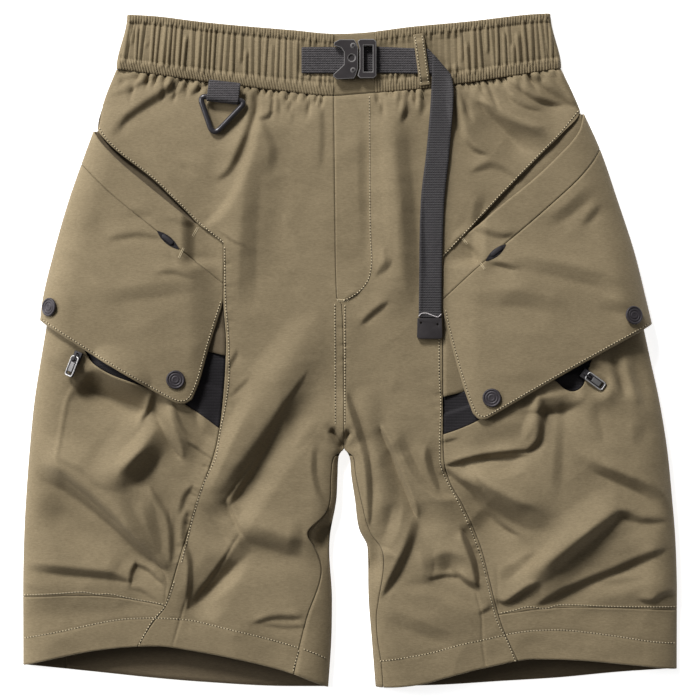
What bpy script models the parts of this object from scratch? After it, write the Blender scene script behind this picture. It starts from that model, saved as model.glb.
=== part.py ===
"""Cargo shorts lying on their back, front side up. Each piece of cloth is a wall with its own solid.

The tables are in millimetres. +X points to the wearer's left hip, +Y from the hems to the waist, and +Z
up from the surface that the shorts lie on. The origin is on that surface, under their middle.
"""

import math

import bmesh
import bpy
import numpy as np
from mathutils import Matrix, Vector
from mathutils.geometry import tessellate_polygon

MM = 0.001

# Walls
CLOTH = 1.2
FLAP_CLOTH = 1.4
BAND = 2.4
WEBBING = 1.6
GAP = 0.4  # between pieces at a seam, measured along the cloth
WAIST_GAP = 0.9
LAYER = 0.4  # between a piece and what lies on it

# How the empty garment stands off the surface, from waist to hem
LOFT_COLUMNS = ("y", "fold_z", "top_z")
LOFT = (
    (226, 2.7, 4.6),
    (205, 3.4, 7.5),
    (177, 4.4, 10.5),
    (130, 5.4, 13.0),
    (60, 6.0, 15.0),
    (-60, 6.0, 16.0),
    (-150, 5.4, 15.0),
    (-205, 4.4, 14.0),
    (-240, 3.6, 13.5),
    (-270, 3.2, 13.0),
)
OUTER_ROUND = 26.0  # how far in from the side fold the front reaches its full height
INNER_ROUND = 20.0
UNDER_ROUND = 6.0
SIDE_PUFF = 5.0  # the cargo pocket's own volume
PUFF_REACH = 70.0
UNDER_RAISE = 2.0  # the side is lifted by the saddle flap that wraps under it
RAISE_REACH = 22.0
SEAM_UNDER = 34.0  # how far round to the underside the front and side pieces reach
UNDER_STEPS = (34.0, 22.0, 12.0, 6.0, 2.0, 0.4)  # columns on the underside, measured from the fold
OVER_STEPS = (0.4, 2.5, 8.0, 16.0, 27.0)  # columns on top

# Lines on the garment, each an x for a y, from waist to hem
SIDE_FOLD_LEFT = ((-187, 226), (-197, 200), (-202, 177), (-215, 136), (-229.5, 84), (-239, 40),
                  (-247.5, -8), (-252.5, -40), (-256.5, -80), (-259.5, -120), (-261, -150),
                  (-262, -200), (-262, -256))
SIDE_FOLD_RIGHT = ((169, 226), (181, 200), (189, 177), (203, 136), (219, 84), (230, 40),
                   (240.5, -8), (247.5, -40), (254, -80), (258, -120), (260.5, -150),
                   (262, -200), (262, -256))
SEAM_LEFT = ((-101, 84.5), (-101, 40), (-99, 5), (-101, -35), (-107, -78), (-121, -119),
             (-134, -160), (-145.7, -199.8), (-147.2, -204.4), (-158, -219), (-170, -237))
SEAM_RIGHT = ((75, 74), (74, 40), (74, 0), (74.2, -50), (74.8, -85), (80, -106), (90, -124),
              (104, -156), (111, -182), (116, -202), (122, -222), (134.5, -249.5))
SEAM_BENDS = {"left": (-204,), "right": (-92, -204)}
POCKET_EDGE_LEFT = ((-202.5, 178), (-195.5, 167.5), (-187, 159.5), (-167.5, 145), (-142, 125),
                    (-123, 101), (-101, 84.5))
POCKET_EDGE_RIGHT = ((184.5, 191.5), (168.5, 172.5), (152.5, 153), (136.5, 135.5), (107, 106),
                     (92.5, 91.5), (75, 74))
INSEAM_LEFT = ((-12.5, -85), (-15, -98), (-16, -120), (-20, -131), (-34, -147), (-28, -159),
               (-23, -176), (-35, -216), (-45, -260), (-47, -275))
INSEAM_RIGHT = ((2.5, -85), (4.5, -98), (9, -120), (17, -147), (25, -158), (27, -170),
                (23, -200), (21.2, -214), (22.2, -232), (25, -250), (27, -275))
INNER_LEFT = ((-5.9, -79), (-9.5, -85), (-10.5, -100), (-11.5, -120), (-16.5, -148),
              (-17.2, -160), (-15, -200), (-15.5, -232), (-18, -270))
INNER_RIGHT = ((-3.7, -79), (0, -85), (1.5, -100), (4.5, -120), (8, -144), (14.5, -158),
               (15.5, -200), (18, -232), (21, -270))
FLY_EDGE = ((-13, 204.5), (-12, 120), (-10.5, 42), (-6.5, 36), (-5, -30), (-4.8, -79))
CROTCH = (-4.8, -79.0)

# Lines across the garment, each a y for an x
WAIST_SEAM = ((-190, 226.4), (-119.5, 216.5), (-55.5, 208.5), (-13, 204.5), (8.5, 206),
              (64.5, 211), (120.5, 219), (172, 227))
WAIST_TOP = ((-182, 269), (-155.5, 267.5), (-119.5, 263), (-83.5, 259.5), (-47.5, 256.5),
             (-12, 253.5), (12.5, 254.5), (48.5, 259), (96.5, 263.5), (144.5, 269), (164, 270))
FRONT_HEM = ((-262, -252.5), (-231.5, -245.5), (-199.5, -239.5), (-155.5, -236.5),
             (-127.5, -240), (-95.5, -246), (-67.5, -252.5), (-45, -259), (-18, -270),
             (22, -270), (56, -267.5), (84, -260), (108, -254), (148, -247), (176, -247.5),
             (224, -251.5), (262, -255.5))
BACK_HEM = ((-262, -252.5), (-203.5, -258.5), (-155.5, -263.5), (-119.5, -266.5), (-47.5, -270),
            (22, -270), (72, -269), (120, -266), (168, -263), (216, -258.5), (262, -255.5))
ZIP_TOP_LEFT = ((-256, 42), (-242, 37), (-228, 22), (-213, 10), (-167.5, 3.5), (-115, -1),
                (-96, -5.5))
ZIP_TOP_RIGHT = ((70, -38.5), (90, -33.5), (120, -22), (180, -5), (202, 4), (216, 22), (232, 37),
                 (248, 42))
CARGO_TOP_LEFT = ((-256, 25), (-240, 19), (-229, 4), (-220, -14), (-209, -23), (-196, -24),
                  (-180, -21), (-160, -22), (-146, -28), (-130, -42), (-114, -54), (-96, -64))
CARGO_TOP_RIGHT = ((70, -69), (90, -62), (106, -54), (120, -42), (135, -31), (150, -26),
                   (165, -31), (180, -36), (194, -33), (206, -18), (218, 8), (232, 21), (248, 26))
CARGO_FOOT_LEFT = ((-264, -198), (-215, -196), (-180, -198.5), (-148.5, -204.5), (-140, -206))
CARGO_FOOT_RIGHT = ((110, -213), (125, -211), (150, -207.5), (180, -206), (216.5, -206.5),
                    (264, -208.5))

# The saddle flap on each hip: its own side fold, its mouth, the hidden zip and the free edges
SADDLE_FOLD_LEFT = ((-205.5, 175), (-215, 149), (-225, 120), (-236.5, 80), (-246, 40),
                    (-248, 24))
SADDLE_FOLD_RIGHT = ((187.5, 189), (200, 161), (214, 120), (227, 80), (237, 40), (241.5, 21))
MOUTH_LEFT = ((-205.5, 175), (-199.5, 167.5), (-183.5, 151.5), (-151.5, 125), (-122.5, 100.5),
              (-101.4, 84))
MOUTH_RIGHT = ((187.5, 189), (184.5, 175.5), (176.5, 166), (160.5, 151), (124.5, 123.5),
               (92.5, 91), (75.6, 73.5))
HIDDEN_ZIP_LEFT = ((-215, 149), (-207.5, 141), (-190, 123.5), (-151.5, 93), (-101.4, 53))
HIDDEN_ZIP_RIGHT = ((200, 161), (194, 150), (180.5, 134), (144.5, 102), (104.5, 68.5),
                    (74.5, 40.5))
FLAP_FOOT_LEFT = ((-248, 24), (-199.5, -7), (-148, -37), (-137, -42.5), (-131, -42.5),
                  (-126, -39))
FLAP_FOOT_RIGHT = ((241.5, 21), (168.5, -19.5), (116.5, -50), (108, -55), (102.5, -55),
                   (98, -50))
FLAP_SIDE_LEFT = ((-101.4, 53), (-101.4, 38.5), (-107.5, 19.5), (-114, -2), (-120, -25),
                  (-126, -39))
FLAP_SIDE_RIGHT = ((74.5, 40.5), (74.5, 32), (78.2, 15.5), (84.5, -8.5), (91, -31), (98, -50))
TAPE_DROP = 1.0  # the cargo zip's tape lies this much lower than the cloth beside it
SADDLE_LIFT = 6.0
SADDLE_REACH = 30.0
SADDLE_UNDER = 11.0

# The largest folds. Each runs start, mid, end; its flanks reach "left" and "right" of that direction
FOLD_COLUMNS = ("start", "mid", "end", "rise", "left", "right")
LARGE_FOLDS = (
    ((-18, 24), (-75, -46), (-118, -128), 5.0, 30, 24),
    ((-22, -30), (-70, -94), (-100, -140), -5.0, 20, 22),
    ((-90, -136), (-64, -148), (-38, -152), 4.0, 20, 20),
    ((-96, -166), (-112, -190), (-126, -212), -4.0, 22, 20),
    ((-72, 196), (-84, 140), (-88, 40), 4.0, 34, 28),
    ((-150, -56), (-176, -84), (-190, -112), 4.5, 22, 24),
    ((-246, -92), (-204, -102), (-150, -166), 5.0, 26, 24),
    ((-250, -122), (-205, -152), (-156, -176), -4.0, 24, 22),
    ((6, -30), (20, -84), (26, -150), 4.0, 16, 20),
    ((32, -76), (48, -104), (60, -150), -4.0, 20, 20),
    ((30, 196), (32, 120), (36, 20), 4.0, 26, 22),
    ((90, -96), (124, -116), (160, -150), 4.5, 24, 22),
    ((100, -132), (120, -152), (142, -176), -4.0, 20, 20),
    ((140, -192), (180, -152), (222, -126), 5.0, 26, 24),
    ((160, -200), (204, -180), (246, -166), -3.5, 22, 20),
    ((96, -82), (126, -74), (156, -78), -3.5, 18, 18),
)
FOLD_STEPS = 14

# Rows and columns of the cloth walls
FRONT_ROWS, FRONT_COLUMNS = 22, 11
BACK_COLUMNS = 7
SEAM_SPARE = 0.5  # added where two curved seams have their rows at different places
FACING_ROWS, CARGO_ROWS, HEM_ROWS, SIDE_COLUMNS = 7, 13, 3, 11
SADDLE_ROWS, SADDLE_COLUMNS = 6, 9
BAND_ROWS, BAND_COLUMNS = 2, 14

# Press studs: radius and height up the cap, then the place of each
SNAP_PROFILE = ((6.9, 0.0), (7.4, 0.5), (7.4, 1.5), (6.5, 2.1), (4.6, 2.2))
SNAP_COLUMNS = ("name", "half", "place")
SNAPS = (("snap_left_outer", "left", (-238.5, 34)), ("snap_left_inner", "left", (-138.8, -23.6)),
         ("snap_right_outer", "right", (225, 27.5)), ("snap_right_inner", "right", (112.8, -38)))

# Belt: the outline of each length of webbing, then the hard pieces on it
TAB_OUTLINE = ((-38.4, 242.5), (-8.5, 242.5), (-8.5, 222.3), (-38.4, 222.3))
BELT_OUTLINE = ((9.8, 243.4), (62, 241.2), (66.8, 236.6), (80.2, 221), (62, 221.8), (9.8, 223))
STRAP_LEFT = ((66.6, 236.8), (65.6, 207.6), (61.6, 159.6), (57, 119.6), (55.4, 39.6), (55.2, 26))
STRAP_RIGHT = ((80.6, 220.6), (82.4, 207.6), (79.2, 159.6), (75, 119.6), (73, 60), (72.6, 26))
STRAP_ROWS = 16
TIP_OUTLINE = ((53.8, 25.4), (73.2, 25.4), (73.6, 10.2), (72.4, 9), (54.6, 9), (53.4, 10.2))
TIP_HOLES = ((56.6, 21.6), (69.8, 20.4))
TIP_HEIGHT = 3.0
LOOP_TOP, LOOP_FOOT, LOOP_WIDTH, LOOP_CLOTH = (54.8, 253.0), (60.2, 212.5), 8.0, 1.4
BUCKLE_HEIGHT = 4.6
BUCKLE_HOOK = ((-12.8, 246), (-8.3, 248.4), (3.1, 248.4), (4.6, 246.6), (6.4, 241.8),
               (6.4, 225.4), (4.6, 219.6), (3.1, 217.2), (-10.3, 216.6), (-13.2, 218.6),
               (-13.2, 220.6), (-8.3, 225), (-4.8, 228.4), (-4.8, 238.4), (-7.1, 241.8),
               (-12.8, 243.6))
BUCKLE_FRAME = ((6, 246.8), (8.2, 248.8), (19.1, 248.8), (21.2, 246.8), (21.2, 219.4),
                (19.1, 217.4), (8.2, 217.4), (6, 219.4), (7.6, 225.4), (7.6, 241.8))
BUCKLE_SLOT = ((10.9, 243.6), (18.2, 243.6), (18.2, 222.6), (10.9, 222.6))
RIVETS = ((2.4, 243.6), (2.4, 223.9))
RIVET_RADIUS, RIVET_HEIGHT = 1.7, 0.5
NOTCH, NOTCH_RADIUS, NOTCH_DEPTH = (1.4, 233.7), 2.9, -1.0

# Ring: the corners of its wire's centre line, and the webbing round its bar
RING_CORNERS = ((-120.4, 203.2), (-82.8, 198.8), (-109.3, 171.0))
RING_FILLETS = (3.2, 2.4, 5.6)
RING_WIRE = 2.0
RING_LOOP_CLOTH, RING_LOOP_WIDTH, RING_LOOP_REACH = 1.2, 24.8, 13.5
RING_LOOP_COLUMNS = 4

# Zip sliders and their pulls: where the pull hinges, which way it lies, and how far it is rolled over
PULL_COLUMNS = ("side", "hinge", "toward", "roll")
PULLS = (("left", (-215.9, -6.2), (-5.9, -14.7), 25.0),
         ("right", (188.6, -20.2), (15.0, -10.6), 0.0))
SLIDER_LENGTH, SLIDER_WIDTH, SLIDER_HEIGHT = 9.0, 7.4, 2.2
ARCH_REACH, ARCH_INSIDE, ARCH_WIRE, ARCH_WIDTH = 2.4, 2.1, 1.0, 1.4
PULL_LENGTH, PULL_WIDTH, PULL_BAR, PULL_THICK = 16.4, 7.8, 1.2, 1.2
PULL_CLEAR = 0.45  # between the slider and the pull's end bar
PULL_WINDOW, PULL_WINDOW_WIDTH = (0.65, 4.3), 3.0
PULL_SLOT, PULL_SLOT_WIDTH = (12.9, 14.4), 5.0
HIDDEN_SLIDERS = (("left", (-145.2, 87.8), (-13.9, 11.5)), ("right", (116.6, 78.4), (12.0, 9.6)))
HIDDEN_LENGTH, HIDDEN_WIDTH, HIDDEN_HEIGHT = 11.0, 3.6, 1.8

# Colours
KHAKI = (0.235, 0.190, 0.118)
BLACK = (0.018, 0.016, 0.018)
PLASTIC = (0.045, 0.042, 0.044)
GUNMETAL = (0.20, 0.20, 0.205)


def smooth_table(points, by):
    """A smooth curve through a table of points, read by its x (by 0) or by its y (by 1)."""
    rows = sorted(points, key=lambda p: p[by])
    at = np.array([p[by] for p in rows], float)
    value = np.array([p[1 - by] for p in rows], float)
    step = np.diff(at)
    slope = np.diff(value) / step
    tangent = np.concatenate([[slope[0]], (slope[:-1] + slope[1:]) / 2, [slope[-1]]])
    tangent[1:-1][slope[:-1] * slope[1:] <= 0] = 0
    for k, s in enumerate(slope):
        limit = 3 * abs(s)
        tangent[k] = np.clip(tangent[k], -limit, limit)
        tangent[k + 1] = np.clip(tangent[k + 1], -limit, limit)

    def read(t):
        t = np.clip(np.asarray(t, float), at[0], at[-1])
        k = np.clip(np.searchsorted(at, t) - 1, 0, len(step) - 1)
        u = (t - at[k]) / step[k]
        return (
            value[k] * (1 + 2 * u) * (1 - u) ** 2
            + value[k + 1] * u * u * (3 - 2 * u)
            + step[k] * (tangent[k] * u * (1 - u) ** 2 - tangent[k + 1] * u * u * (1 - u))
        )

    return read


def even_points(points, count):
    """Points evenly spaced along a polyline with rounded corners."""
    line = np.array(points, float)
    for _ in range(2):
        cut = np.stack([0.8 * line[:-1] + 0.2 * line[1:], 0.2 * line[:-1] + 0.8 * line[1:]], 1)
        line = np.concatenate([line[:1], cut.reshape(-1, 2)[1:-1], line[-1:]])
    along = np.concatenate([[0], np.cumsum(np.hypot(*np.diff(line, axis=0).T))])
    at = np.linspace(0, along[-1], count)
    return np.stack([np.interp(at, along, line[:, k]) for k in (0, 1)], 1)


def rounded(share):
    """A quarter round from 0 to 1, upright at its foot."""
    return np.sqrt(1 - (1 - np.clip(share, 0, 1)) ** 2)


def eased(share):
    share = np.clip(share, 0, 1)
    return share * share * (3 - 2 * share)


waist_y = smooth_table(WAIST_SEAM, 0)
waist_top_y = smooth_table(WAIST_TOP, 0)
front_hem_y = smooth_table(FRONT_HEM, 0)
back_hem_y = smooth_table(BACK_HEM, 0)
fold_z = smooth_table([(z, y) for y, z, _ in LOFT], 1)
top_z = smooth_table([(z, y) for y, _, z in LOFT], 1)


class Half:
    """One half of the garment: sign -1 is on the left, +1 on the right."""

    def __init__(self, sign, name, side, seam, pocket, inseam, inner, saddle_fold, lines):
        self.sign = sign
        self.name = name
        self.side_x = smooth_table(side, 1)
        self.seam_x = smooth_table(seam, 1)
        self.inseam_x = smooth_table(inseam, 1)
        self.inner_x = smooth_table(inner, 1)
        self.saddle_x = smooth_table(saddle_fold, 1)
        self.saddle_span = (saddle_fold[-1][1], saddle_fold[0][1])
        self.pocket_y = smooth_table(pocket, 0)
        above_pocket = [p for p in side if p[1] > pocket[0][1]]
        self.front_outer_x = smooth_table(above_pocket + list(pocket) + list(seam[1:]), 1)
        self.front_inner_x = smooth_table(list(FLY_EDGE) + list(inseam), 1)
        self.pocket_ends = (pocket[0][1], pocket[-1][1])
        self.inseam_bends = [inseam[0][1]] + [p[1] for p in inseam[3:7]]
        self.seam_bends = SEAM_BENDS[name]
        zip_top, cargo_top, cargo_foot, self.mouth, self.hidden_zip, self.foot, self.side = lines
        self.zip_y = smooth_table(zip_top, 0)
        self.cargo_y = smooth_table(cargo_top, 0)
        self.cargo_foot_y = smooth_table(cargo_foot, 0)

    def side_gap(self, x, y):
        """How far a point is inside the side fold."""
        return self.sign * (self.side_x(y) - x)

    def inner_gap(self, x, y):
        """How far a point is from the inner-leg fold, or above it from the crotch."""
        below = self.sign * (x - self.inner_x(y))
        above = np.hypot(0.5 * (x - CROTCH[0]), y - CROTCH[1])
        share = eased((CROTCH[1] + 3 - y) / 6)
        return np.maximum(share * below + (1 - share) * above, 0.4)


LEFT = Half(-1, "left", SIDE_FOLD_LEFT, SEAM_LEFT, POCKET_EDGE_LEFT, INSEAM_LEFT, INNER_LEFT,
            SADDLE_FOLD_LEFT, (ZIP_TOP_LEFT, CARGO_TOP_LEFT, CARGO_FOOT_LEFT, MOUTH_LEFT,
                               HIDDEN_ZIP_LEFT, FLAP_FOOT_LEFT, FLAP_SIDE_LEFT))
RIGHT = Half(1, "right", SIDE_FOLD_RIGHT, SEAM_RIGHT, POCKET_EDGE_RIGHT, INSEAM_RIGHT,
             INNER_RIGHT, SADDLE_FOLD_RIGHT, (ZIP_TOP_RIGHT, CARGO_TOP_RIGHT, CARGO_FOOT_RIGHT,
                                              MOUTH_RIGHT, HIDDEN_ZIP_RIGHT, FLAP_FOOT_RIGHT,
                                              FLAP_SIDE_RIGHT))
HALVES = {"left": LEFT, "right": RIGHT}


def fold_relief(x, y):
    """How far the largest folds raise or lower the front at each point."""
    total = np.zeros(np.shape(x))
    for start, mid, end, rise, left, right in LARGE_FOLDS:
        t = np.linspace(0, 1, FOLD_STEPS)[:, None]
        control = 2 * np.array(mid) - (np.array(start) + np.array(end)) / 2
        path = (1 - t) ** 2 * start + 2 * t * (1 - t) * control + t * t * np.array(end)
        ahead = np.gradient(path, axis=0)
        ahead /= np.linalg.norm(ahead, axis=1)[:, None]
        off = np.stack([x, y], -1)[..., None, :] - path
        nearest = np.argmin((off**2).sum(-1), -1)
        off = np.take_along_axis(off, nearest[..., None, None], -2)[..., 0, :]
        way = ahead[nearest]
        aside = way[..., 0] * off[..., 1] - way[..., 1] * off[..., 0]
        reach = np.where(aside > 0, left, right)
        share = nearest / (FOLD_STEPS - 1)
        ends = eased(3.5 * share + 0.2) * eased(3.5 * (1 - share) + 0.2)
        total += rise * eased(1 - np.linalg.norm(off, axis=-1) / reach) * ends
    return total


def puffed(half, x, y):
    """The front's height away from its folds at the sides, with the cargo pocket's volume."""
    puff = SIDE_PUFF * eased(half.sign * (x - half.seam_x(y)) / PUFF_REACH)
    puff = puff * eased((100 - y) / 60) * eased((y + 215) / 30)
    return top_z(y) + puff + fold_relief(x, y)


def front_height(half, x, y):
    """Height of the middle of the front wall. It rounds down to the folds at the garment's sides."""
    rise = puffed(half, x, y) - fold_z(y)
    return fold_z(y) + rise * rounded(half.side_gap(x, y) / OUTER_ROUND) * rounded(
        half.inner_gap(x, y) / INNER_ROUND
    )


def back_height(half, x, y):
    """Height of the middle of the back wall, flat on the surface away from the folds."""
    low, high = half.saddle_span
    beside = eased((y - low + 26) / 18) * eased((high + 22 - y) / 14)
    raised = UNDER_RAISE * beside * eased(1.5 - half.side_gap(x, y) / RAISE_REACH)
    flat = CLOTH / 2 + raised
    depth = np.maximum(fold_z(y) - flat, 0)
    side = rounded(half.side_gap(x, y) / UNDER_ROUND)
    return flat + depth * (1 - side * rounded(half.inner_gap(x, y) / UNDER_ROUND))


def saddle_height(half, x, y):
    """The saddle flap lies on the front at its sewn edge and stands off it elsewhere."""
    sewn = half.sign * (x - half.seam_x(y))
    lift = 0.2 + SADDLE_LIFT * eased(sewn / SADDLE_REACH)
    puff = SIDE_PUFF * eased(sewn / PUFF_REACH) * eased((100 - y) / 60)
    rise = top_z(y) + puff + fold_relief(x, y) + lift - fold_z(y)
    gap = half.sign * (half.saddle_x(y) - x)
    return fold_z(y) + rise * rounded(gap / OUTER_ROUND)


def crossing(edge_x, share, hem_y, start):
    """Where the line edge_x crosses the row that lies at this share from waist to hem."""
    x = start
    for _ in range(60):
        y = (1 - share) * waist_y(x) + share * hem_y(x)
        x = 0.5 * x + 0.5 * edge_x(y)
    return float(x), float(y)


def share_at(edge_x, y, hem_y):
    x = edge_x(y)
    return float((waist_y(x) - y) / (waist_y(x) - hem_y(x)))


def shares_with(count, keys, low=0.0, high=1.0):
    """Evenly spaced row shares, with those near a key replaced by the key."""
    shares = np.linspace(low, high, count)
    apart = 0.45 * (high - low) / count
    kept = [s for s in shares[1:-1] if min(abs(s - key) for key in keys) > apart]
    return np.sort(np.array([low, high, *keys, *kept]))


def material(name, colour, roughness, metallic=0.0):
    made = bpy.data.materials.get(name) or bpy.data.materials.new(name)
    made.use_nodes = True
    shader = made.node_tree.nodes["Principled BSDF"]
    shader.inputs["Base Color"].default_value = (*colour, 1)
    shader.inputs["Roughness"].default_value = roughness
    shader.inputs["Metallic"].default_value = metallic
    return made


def khaki():
    return material("khaki_cloth", KHAKI, 0.85)


def black_webbing():
    return material("black_webbing", BLACK, 0.8)


def plastic():
    return material("black_plastic", PLASTIC, 0.45)


def metal():
    return material("gunmetal", GUNMETAL, 0.35, 0.8)


def finished(name, form, finish):
    """Turn a bmesh in millimetres into an object with outward faces."""
    bmesh.ops.scale(form, vec=(MM, MM, MM), verts=form.verts)
    bmesh.ops.recalc_face_normals(form, faces=form.faces)
    if form.calc_volume(signed=True) < 0:
        bmesh.ops.reverse_faces(form, faces=form.faces)
    mesh = bpy.data.meshes.new(name)
    form.to_mesh(mesh)
    form.free()
    mesh.materials.append(finish)
    obj = bpy.data.objects.new(name, mesh)
    bpy.context.scene.collection.objects.link(obj)
    return obj


def wall(name, sheets, thickness, finish, steep=0.6):
    """A closed wall of cloth round its middle surface. Each sheet is a grid of points, and the sheets
    join where their points meet. Rims are upright where the cloth is less steep than given. Nothing is
    below the surface."""
    form = bmesh.new()
    for grid in sheets:
        rows = [[form.verts.new(p) for p in line] for line in np.asarray(grid, float)]
        for upper, lower in zip(rows, rows[1:]):
            for k in range(len(upper) - 1):
                form.faces.new((upper[k], lower[k], lower[k + 1], upper[k + 1]))
    bmesh.ops.remove_doubles(form, verts=form.verts, dist=0.01)
    bmesh.ops.dissolve_degenerate(form, edges=form.edges, dist=0.01)
    bmesh.ops.recalc_face_normals(form, faces=form.faces)
    form.normal_update()
    middle = list(form.faces)
    rim = [e for e in form.edges if len(e.link_faces) == 1]
    on_rim = {v for e in rim for v in e.verts}
    outside, inside = {}, {}
    for v in list(form.verts):
        step = v.normal * thickness / 2
        if v in on_rim and abs(v.normal.z) > steep:
            step = Vector((0, 0, thickness / 2 / v.normal.z))
        outside[v], inside[v] = form.verts.new(v.co + step), form.verts.new(v.co - step)
        for made in (outside[v], inside[v]):
            made.co.z = max(made.co.z, 0.0)
    for edge in rim:
        loop = edge.link_loops[0]
        first, second = loop.vert, loop.link_loop_next.vert
        form.faces.new((outside[second], outside[first], inside[first], inside[second]))
    for face in middle:
        form.faces.new([outside[v] for v in face.verts])
        form.faces.new([inside[v] for v in reversed(face.verts)])
    bmesh.ops.delete(form, geom=list(outside), context="VERTS")
    return finished(name, form, finish)


def under_row(half, fold_x, fold_y, steps=UNDER_STEPS):
    """The part of a row that lies under the garment, from the hidden seam to just short of the fold."""
    share = (waist_y(fold_x) - fold_y) / (waist_y(fold_x) - back_hem_y(fold_x))
    x = fold_x - half.sign * np.array(steps)
    y = (1 - share) * waist_y(x) + share * back_hem_y(x)
    return np.stack([x, y, back_height(half, x, y)], 1)


def over_row(half, inner_x, fold_x, row_y, columns):
    """The part of a row on top, from its inner end to the side fold."""
    reach = half.sign * (fold_x - inner_x)
    steps = [s for s in OVER_STEPS if s < 0.8 * reach]
    even = np.linspace(reach, steps[-1], columns + 1 + len(OVER_STEPS) - len(steps))[:-1]
    x = fold_x - half.sign * np.concatenate([even, steps[::-1], [0.0]])
    y = row_y(x)
    z = front_height(half, x, y)
    z[-1] = fold_z(y[-1])
    return np.stack([x, y, z], 1)


def front_shares(half):
    mouth_ys = (*half.pocket_ends, half.pocket_ends[0] - 6, half.pocket_ends[0] - 13)
    keys = [share_at(half.front_outer_x, y, front_hem_y) for y in mouth_ys]
    keys += [share_at(half.front_inner_x, y, front_hem_y) for y in half.inseam_bends]
    keys += [share_at(half.front_inner_x, CROTCH[1], front_hem_y)]
    keys += [share_at(half.front_outer_x, y, front_hem_y) for y in half.seam_bends]
    return shares_with(FRONT_ROWS + 1, keys, WAIST_GAP / 460, 1.0)


def front_panel(half):
    """The front of one half. Above the hand pocket it goes round the side fold to the underside."""
    corner = share_at(half.front_outer_x, half.pocket_ends[0], front_hem_y)
    main, under = [], []
    across = np.linspace(0, 1, FRONT_COLUMNS + 1)
    for share in front_shares(half):
        near = crossing(half.front_inner_x, share, front_hem_y, 0.0)[0] + half.sign * GAP / 2
        outer, outer_y = crossing(half.front_outer_x, share, front_hem_y, half.sign * 100.0)

        def row_y(x, share=share):
            return (1 - share) * waist_y(x) + share * front_hem_y(x)

        if share <= corner + 1e-6:
            row = over_row(half, near, outer, row_y, FRONT_COLUMNS - len(OVER_STEPS))
            under.append(np.concatenate([under_row(half, outer, outer_y), row[-1:]]))
            across = (row[:, 0] - near) / (outer - near)
        else:
            ease = eased((share - corner) / 0.3)
            spread = (1 - ease) * across + ease * np.linspace(0, 1, len(across))
            x = near + (outer - half.sign * GAP / 2 - near) * spread
            y = row_y(x)
            row = np.stack([x, y, front_height(half, x, y)], 1)
        main.append(row)
    under[-1][:, 1] += GAP
    under[-1][-1] = main[len(under) - 1][-1]
    return wall(f"front_{half.name}", [main, under], CLOTH, khaki())


def back_panel(half):
    """The back of one half, flat on the surface. Below the crotch it comes round the inner fold to the
    inseam on the front."""
    under, over = [], []
    crotch = share_at(half.front_inner_x, CROTCH[1], front_hem_y)
    below = share_at(half.front_inner_x, half.inseam_bends[0], front_hem_y)
    for k, share in enumerate(front_shares(half)):
        if share < crotch - 1e-6 and k % 2:
            continue
        seam, seam_y = crossing(half.front_inner_x, share, front_hem_y, 0.0)
        inner, inner_y = CROTCH[0] + half.sign * (GAP / 2 + 0.3), 0.0
        back_share = share
        if share > crotch - 1e-6:
            inner, inner_y = crossing(half.inner_x, share, front_hem_y, 0.0)
            back_share = (waist_y(inner) - inner_y) / (waist_y(inner) - back_hem_y(inner))
        outer = crossing(half.side_x, back_share, back_hem_y, half.sign * 200.0)[0]
        outer -= half.sign * (SEAM_UNDER + GAP)
        steps = np.array([7.0, 3.0, 0.5, 0.0]) * half.sign
        x = np.concatenate([np.linspace(outer, inner + steps[0], BACK_COLUMNS), inner + steps[1:]])
        y = (1 - back_share) * waist_y(x) + back_share * back_hem_y(x)
        z = back_height(half, x, y)
        if share > crotch - 1e-6:
            z[-1] = fold_z(y[-1])
            reach = seam - half.sign * GAP / 2
            t = np.array([0, 0.06, 0.3, 1.0])
            x_over = inner + (reach - inner) * t
            y_over = inner_y + (seam_y - inner_y) * t
            z_over = front_height(half, x_over, y_over)
            z_over[0] = z[-1]
            y[-1] = inner_y
            if share > below - 1e-6:
                over.append(np.stack([x_over, y_over, z_over], 1))
        under.append(np.stack([x, y, z], 1))
    return wall(f"back_{half.name}", [under, over], CLOTH, khaki())


def side_piece(half, name, top_y, foot_y, rows, drop, finish):
    """A piece beside the front panel, between two lines across the leg. It goes round the side fold to
    the underside."""
    grid = []
    for share in np.linspace(0, 1, rows + 1):

        def row_y(x, share=share):
            return (1 - share) * top_y(x) + share * foot_y(x)

        fold_x = float(half.side_x(0.0))
        inner_x = float(half.seam_x(0.0))
        for _ in range(60):
            fold_x = float(0.5 * (fold_x + half.side_x(row_y(fold_x))))
            inner_x = float(0.5 * (inner_x + half.seam_x(row_y(inner_x))))
        inner_x += half.sign * (GAP / 2 + SEAM_SPARE)
        row = over_row(half, inner_x, fold_x, row_y, SIDE_COLUMNS - len(OVER_STEPS))
        row[:, 2] -= drop(row[:, 0], row[:, 1]) * rounded(
            half.side_gap(row[:, 0], row[:, 1]) / OUTER_ROUND
        )
        grid.append(np.concatenate([under_row(half, fold_x, float(row[-1, 1])), row[::-1]]))
    return wall(name, [grid], CLOTH, finish)


def hand_pocket_side(half):
    """The inner side of the hand pocket, under the saddle: from beneath the front's slanted edge down to
    the cargo zip. It lies lower than the front wherever another piece lies on it."""
    highest = half.pocket_ends[0] - 3 * GAP

    def top_y(x):
        inside = np.maximum(half.side_gap(x, half.pocket_y(x)) - 9, 0)
        return np.minimum(half.pocket_y(x) - 4.5 * GAP + np.minimum(0.7 * inside, 10), highest)

    def drop(x, y):
        sewn = half.sign * (x - half.seam_x(y))
        tucked = 3.4 * np.maximum(eased(sewn / 25), eased((y - 60) / 12))
        return np.maximum(tucked, 2.4 * eased((y - 8) / 12))

    side_piece(half, f"pocket_facing_{half.name}", top_y, lambda x: half.zip_y(x) + GAP / 2 + 0.3,
               FACING_ROWS, drop, khaki())


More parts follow.
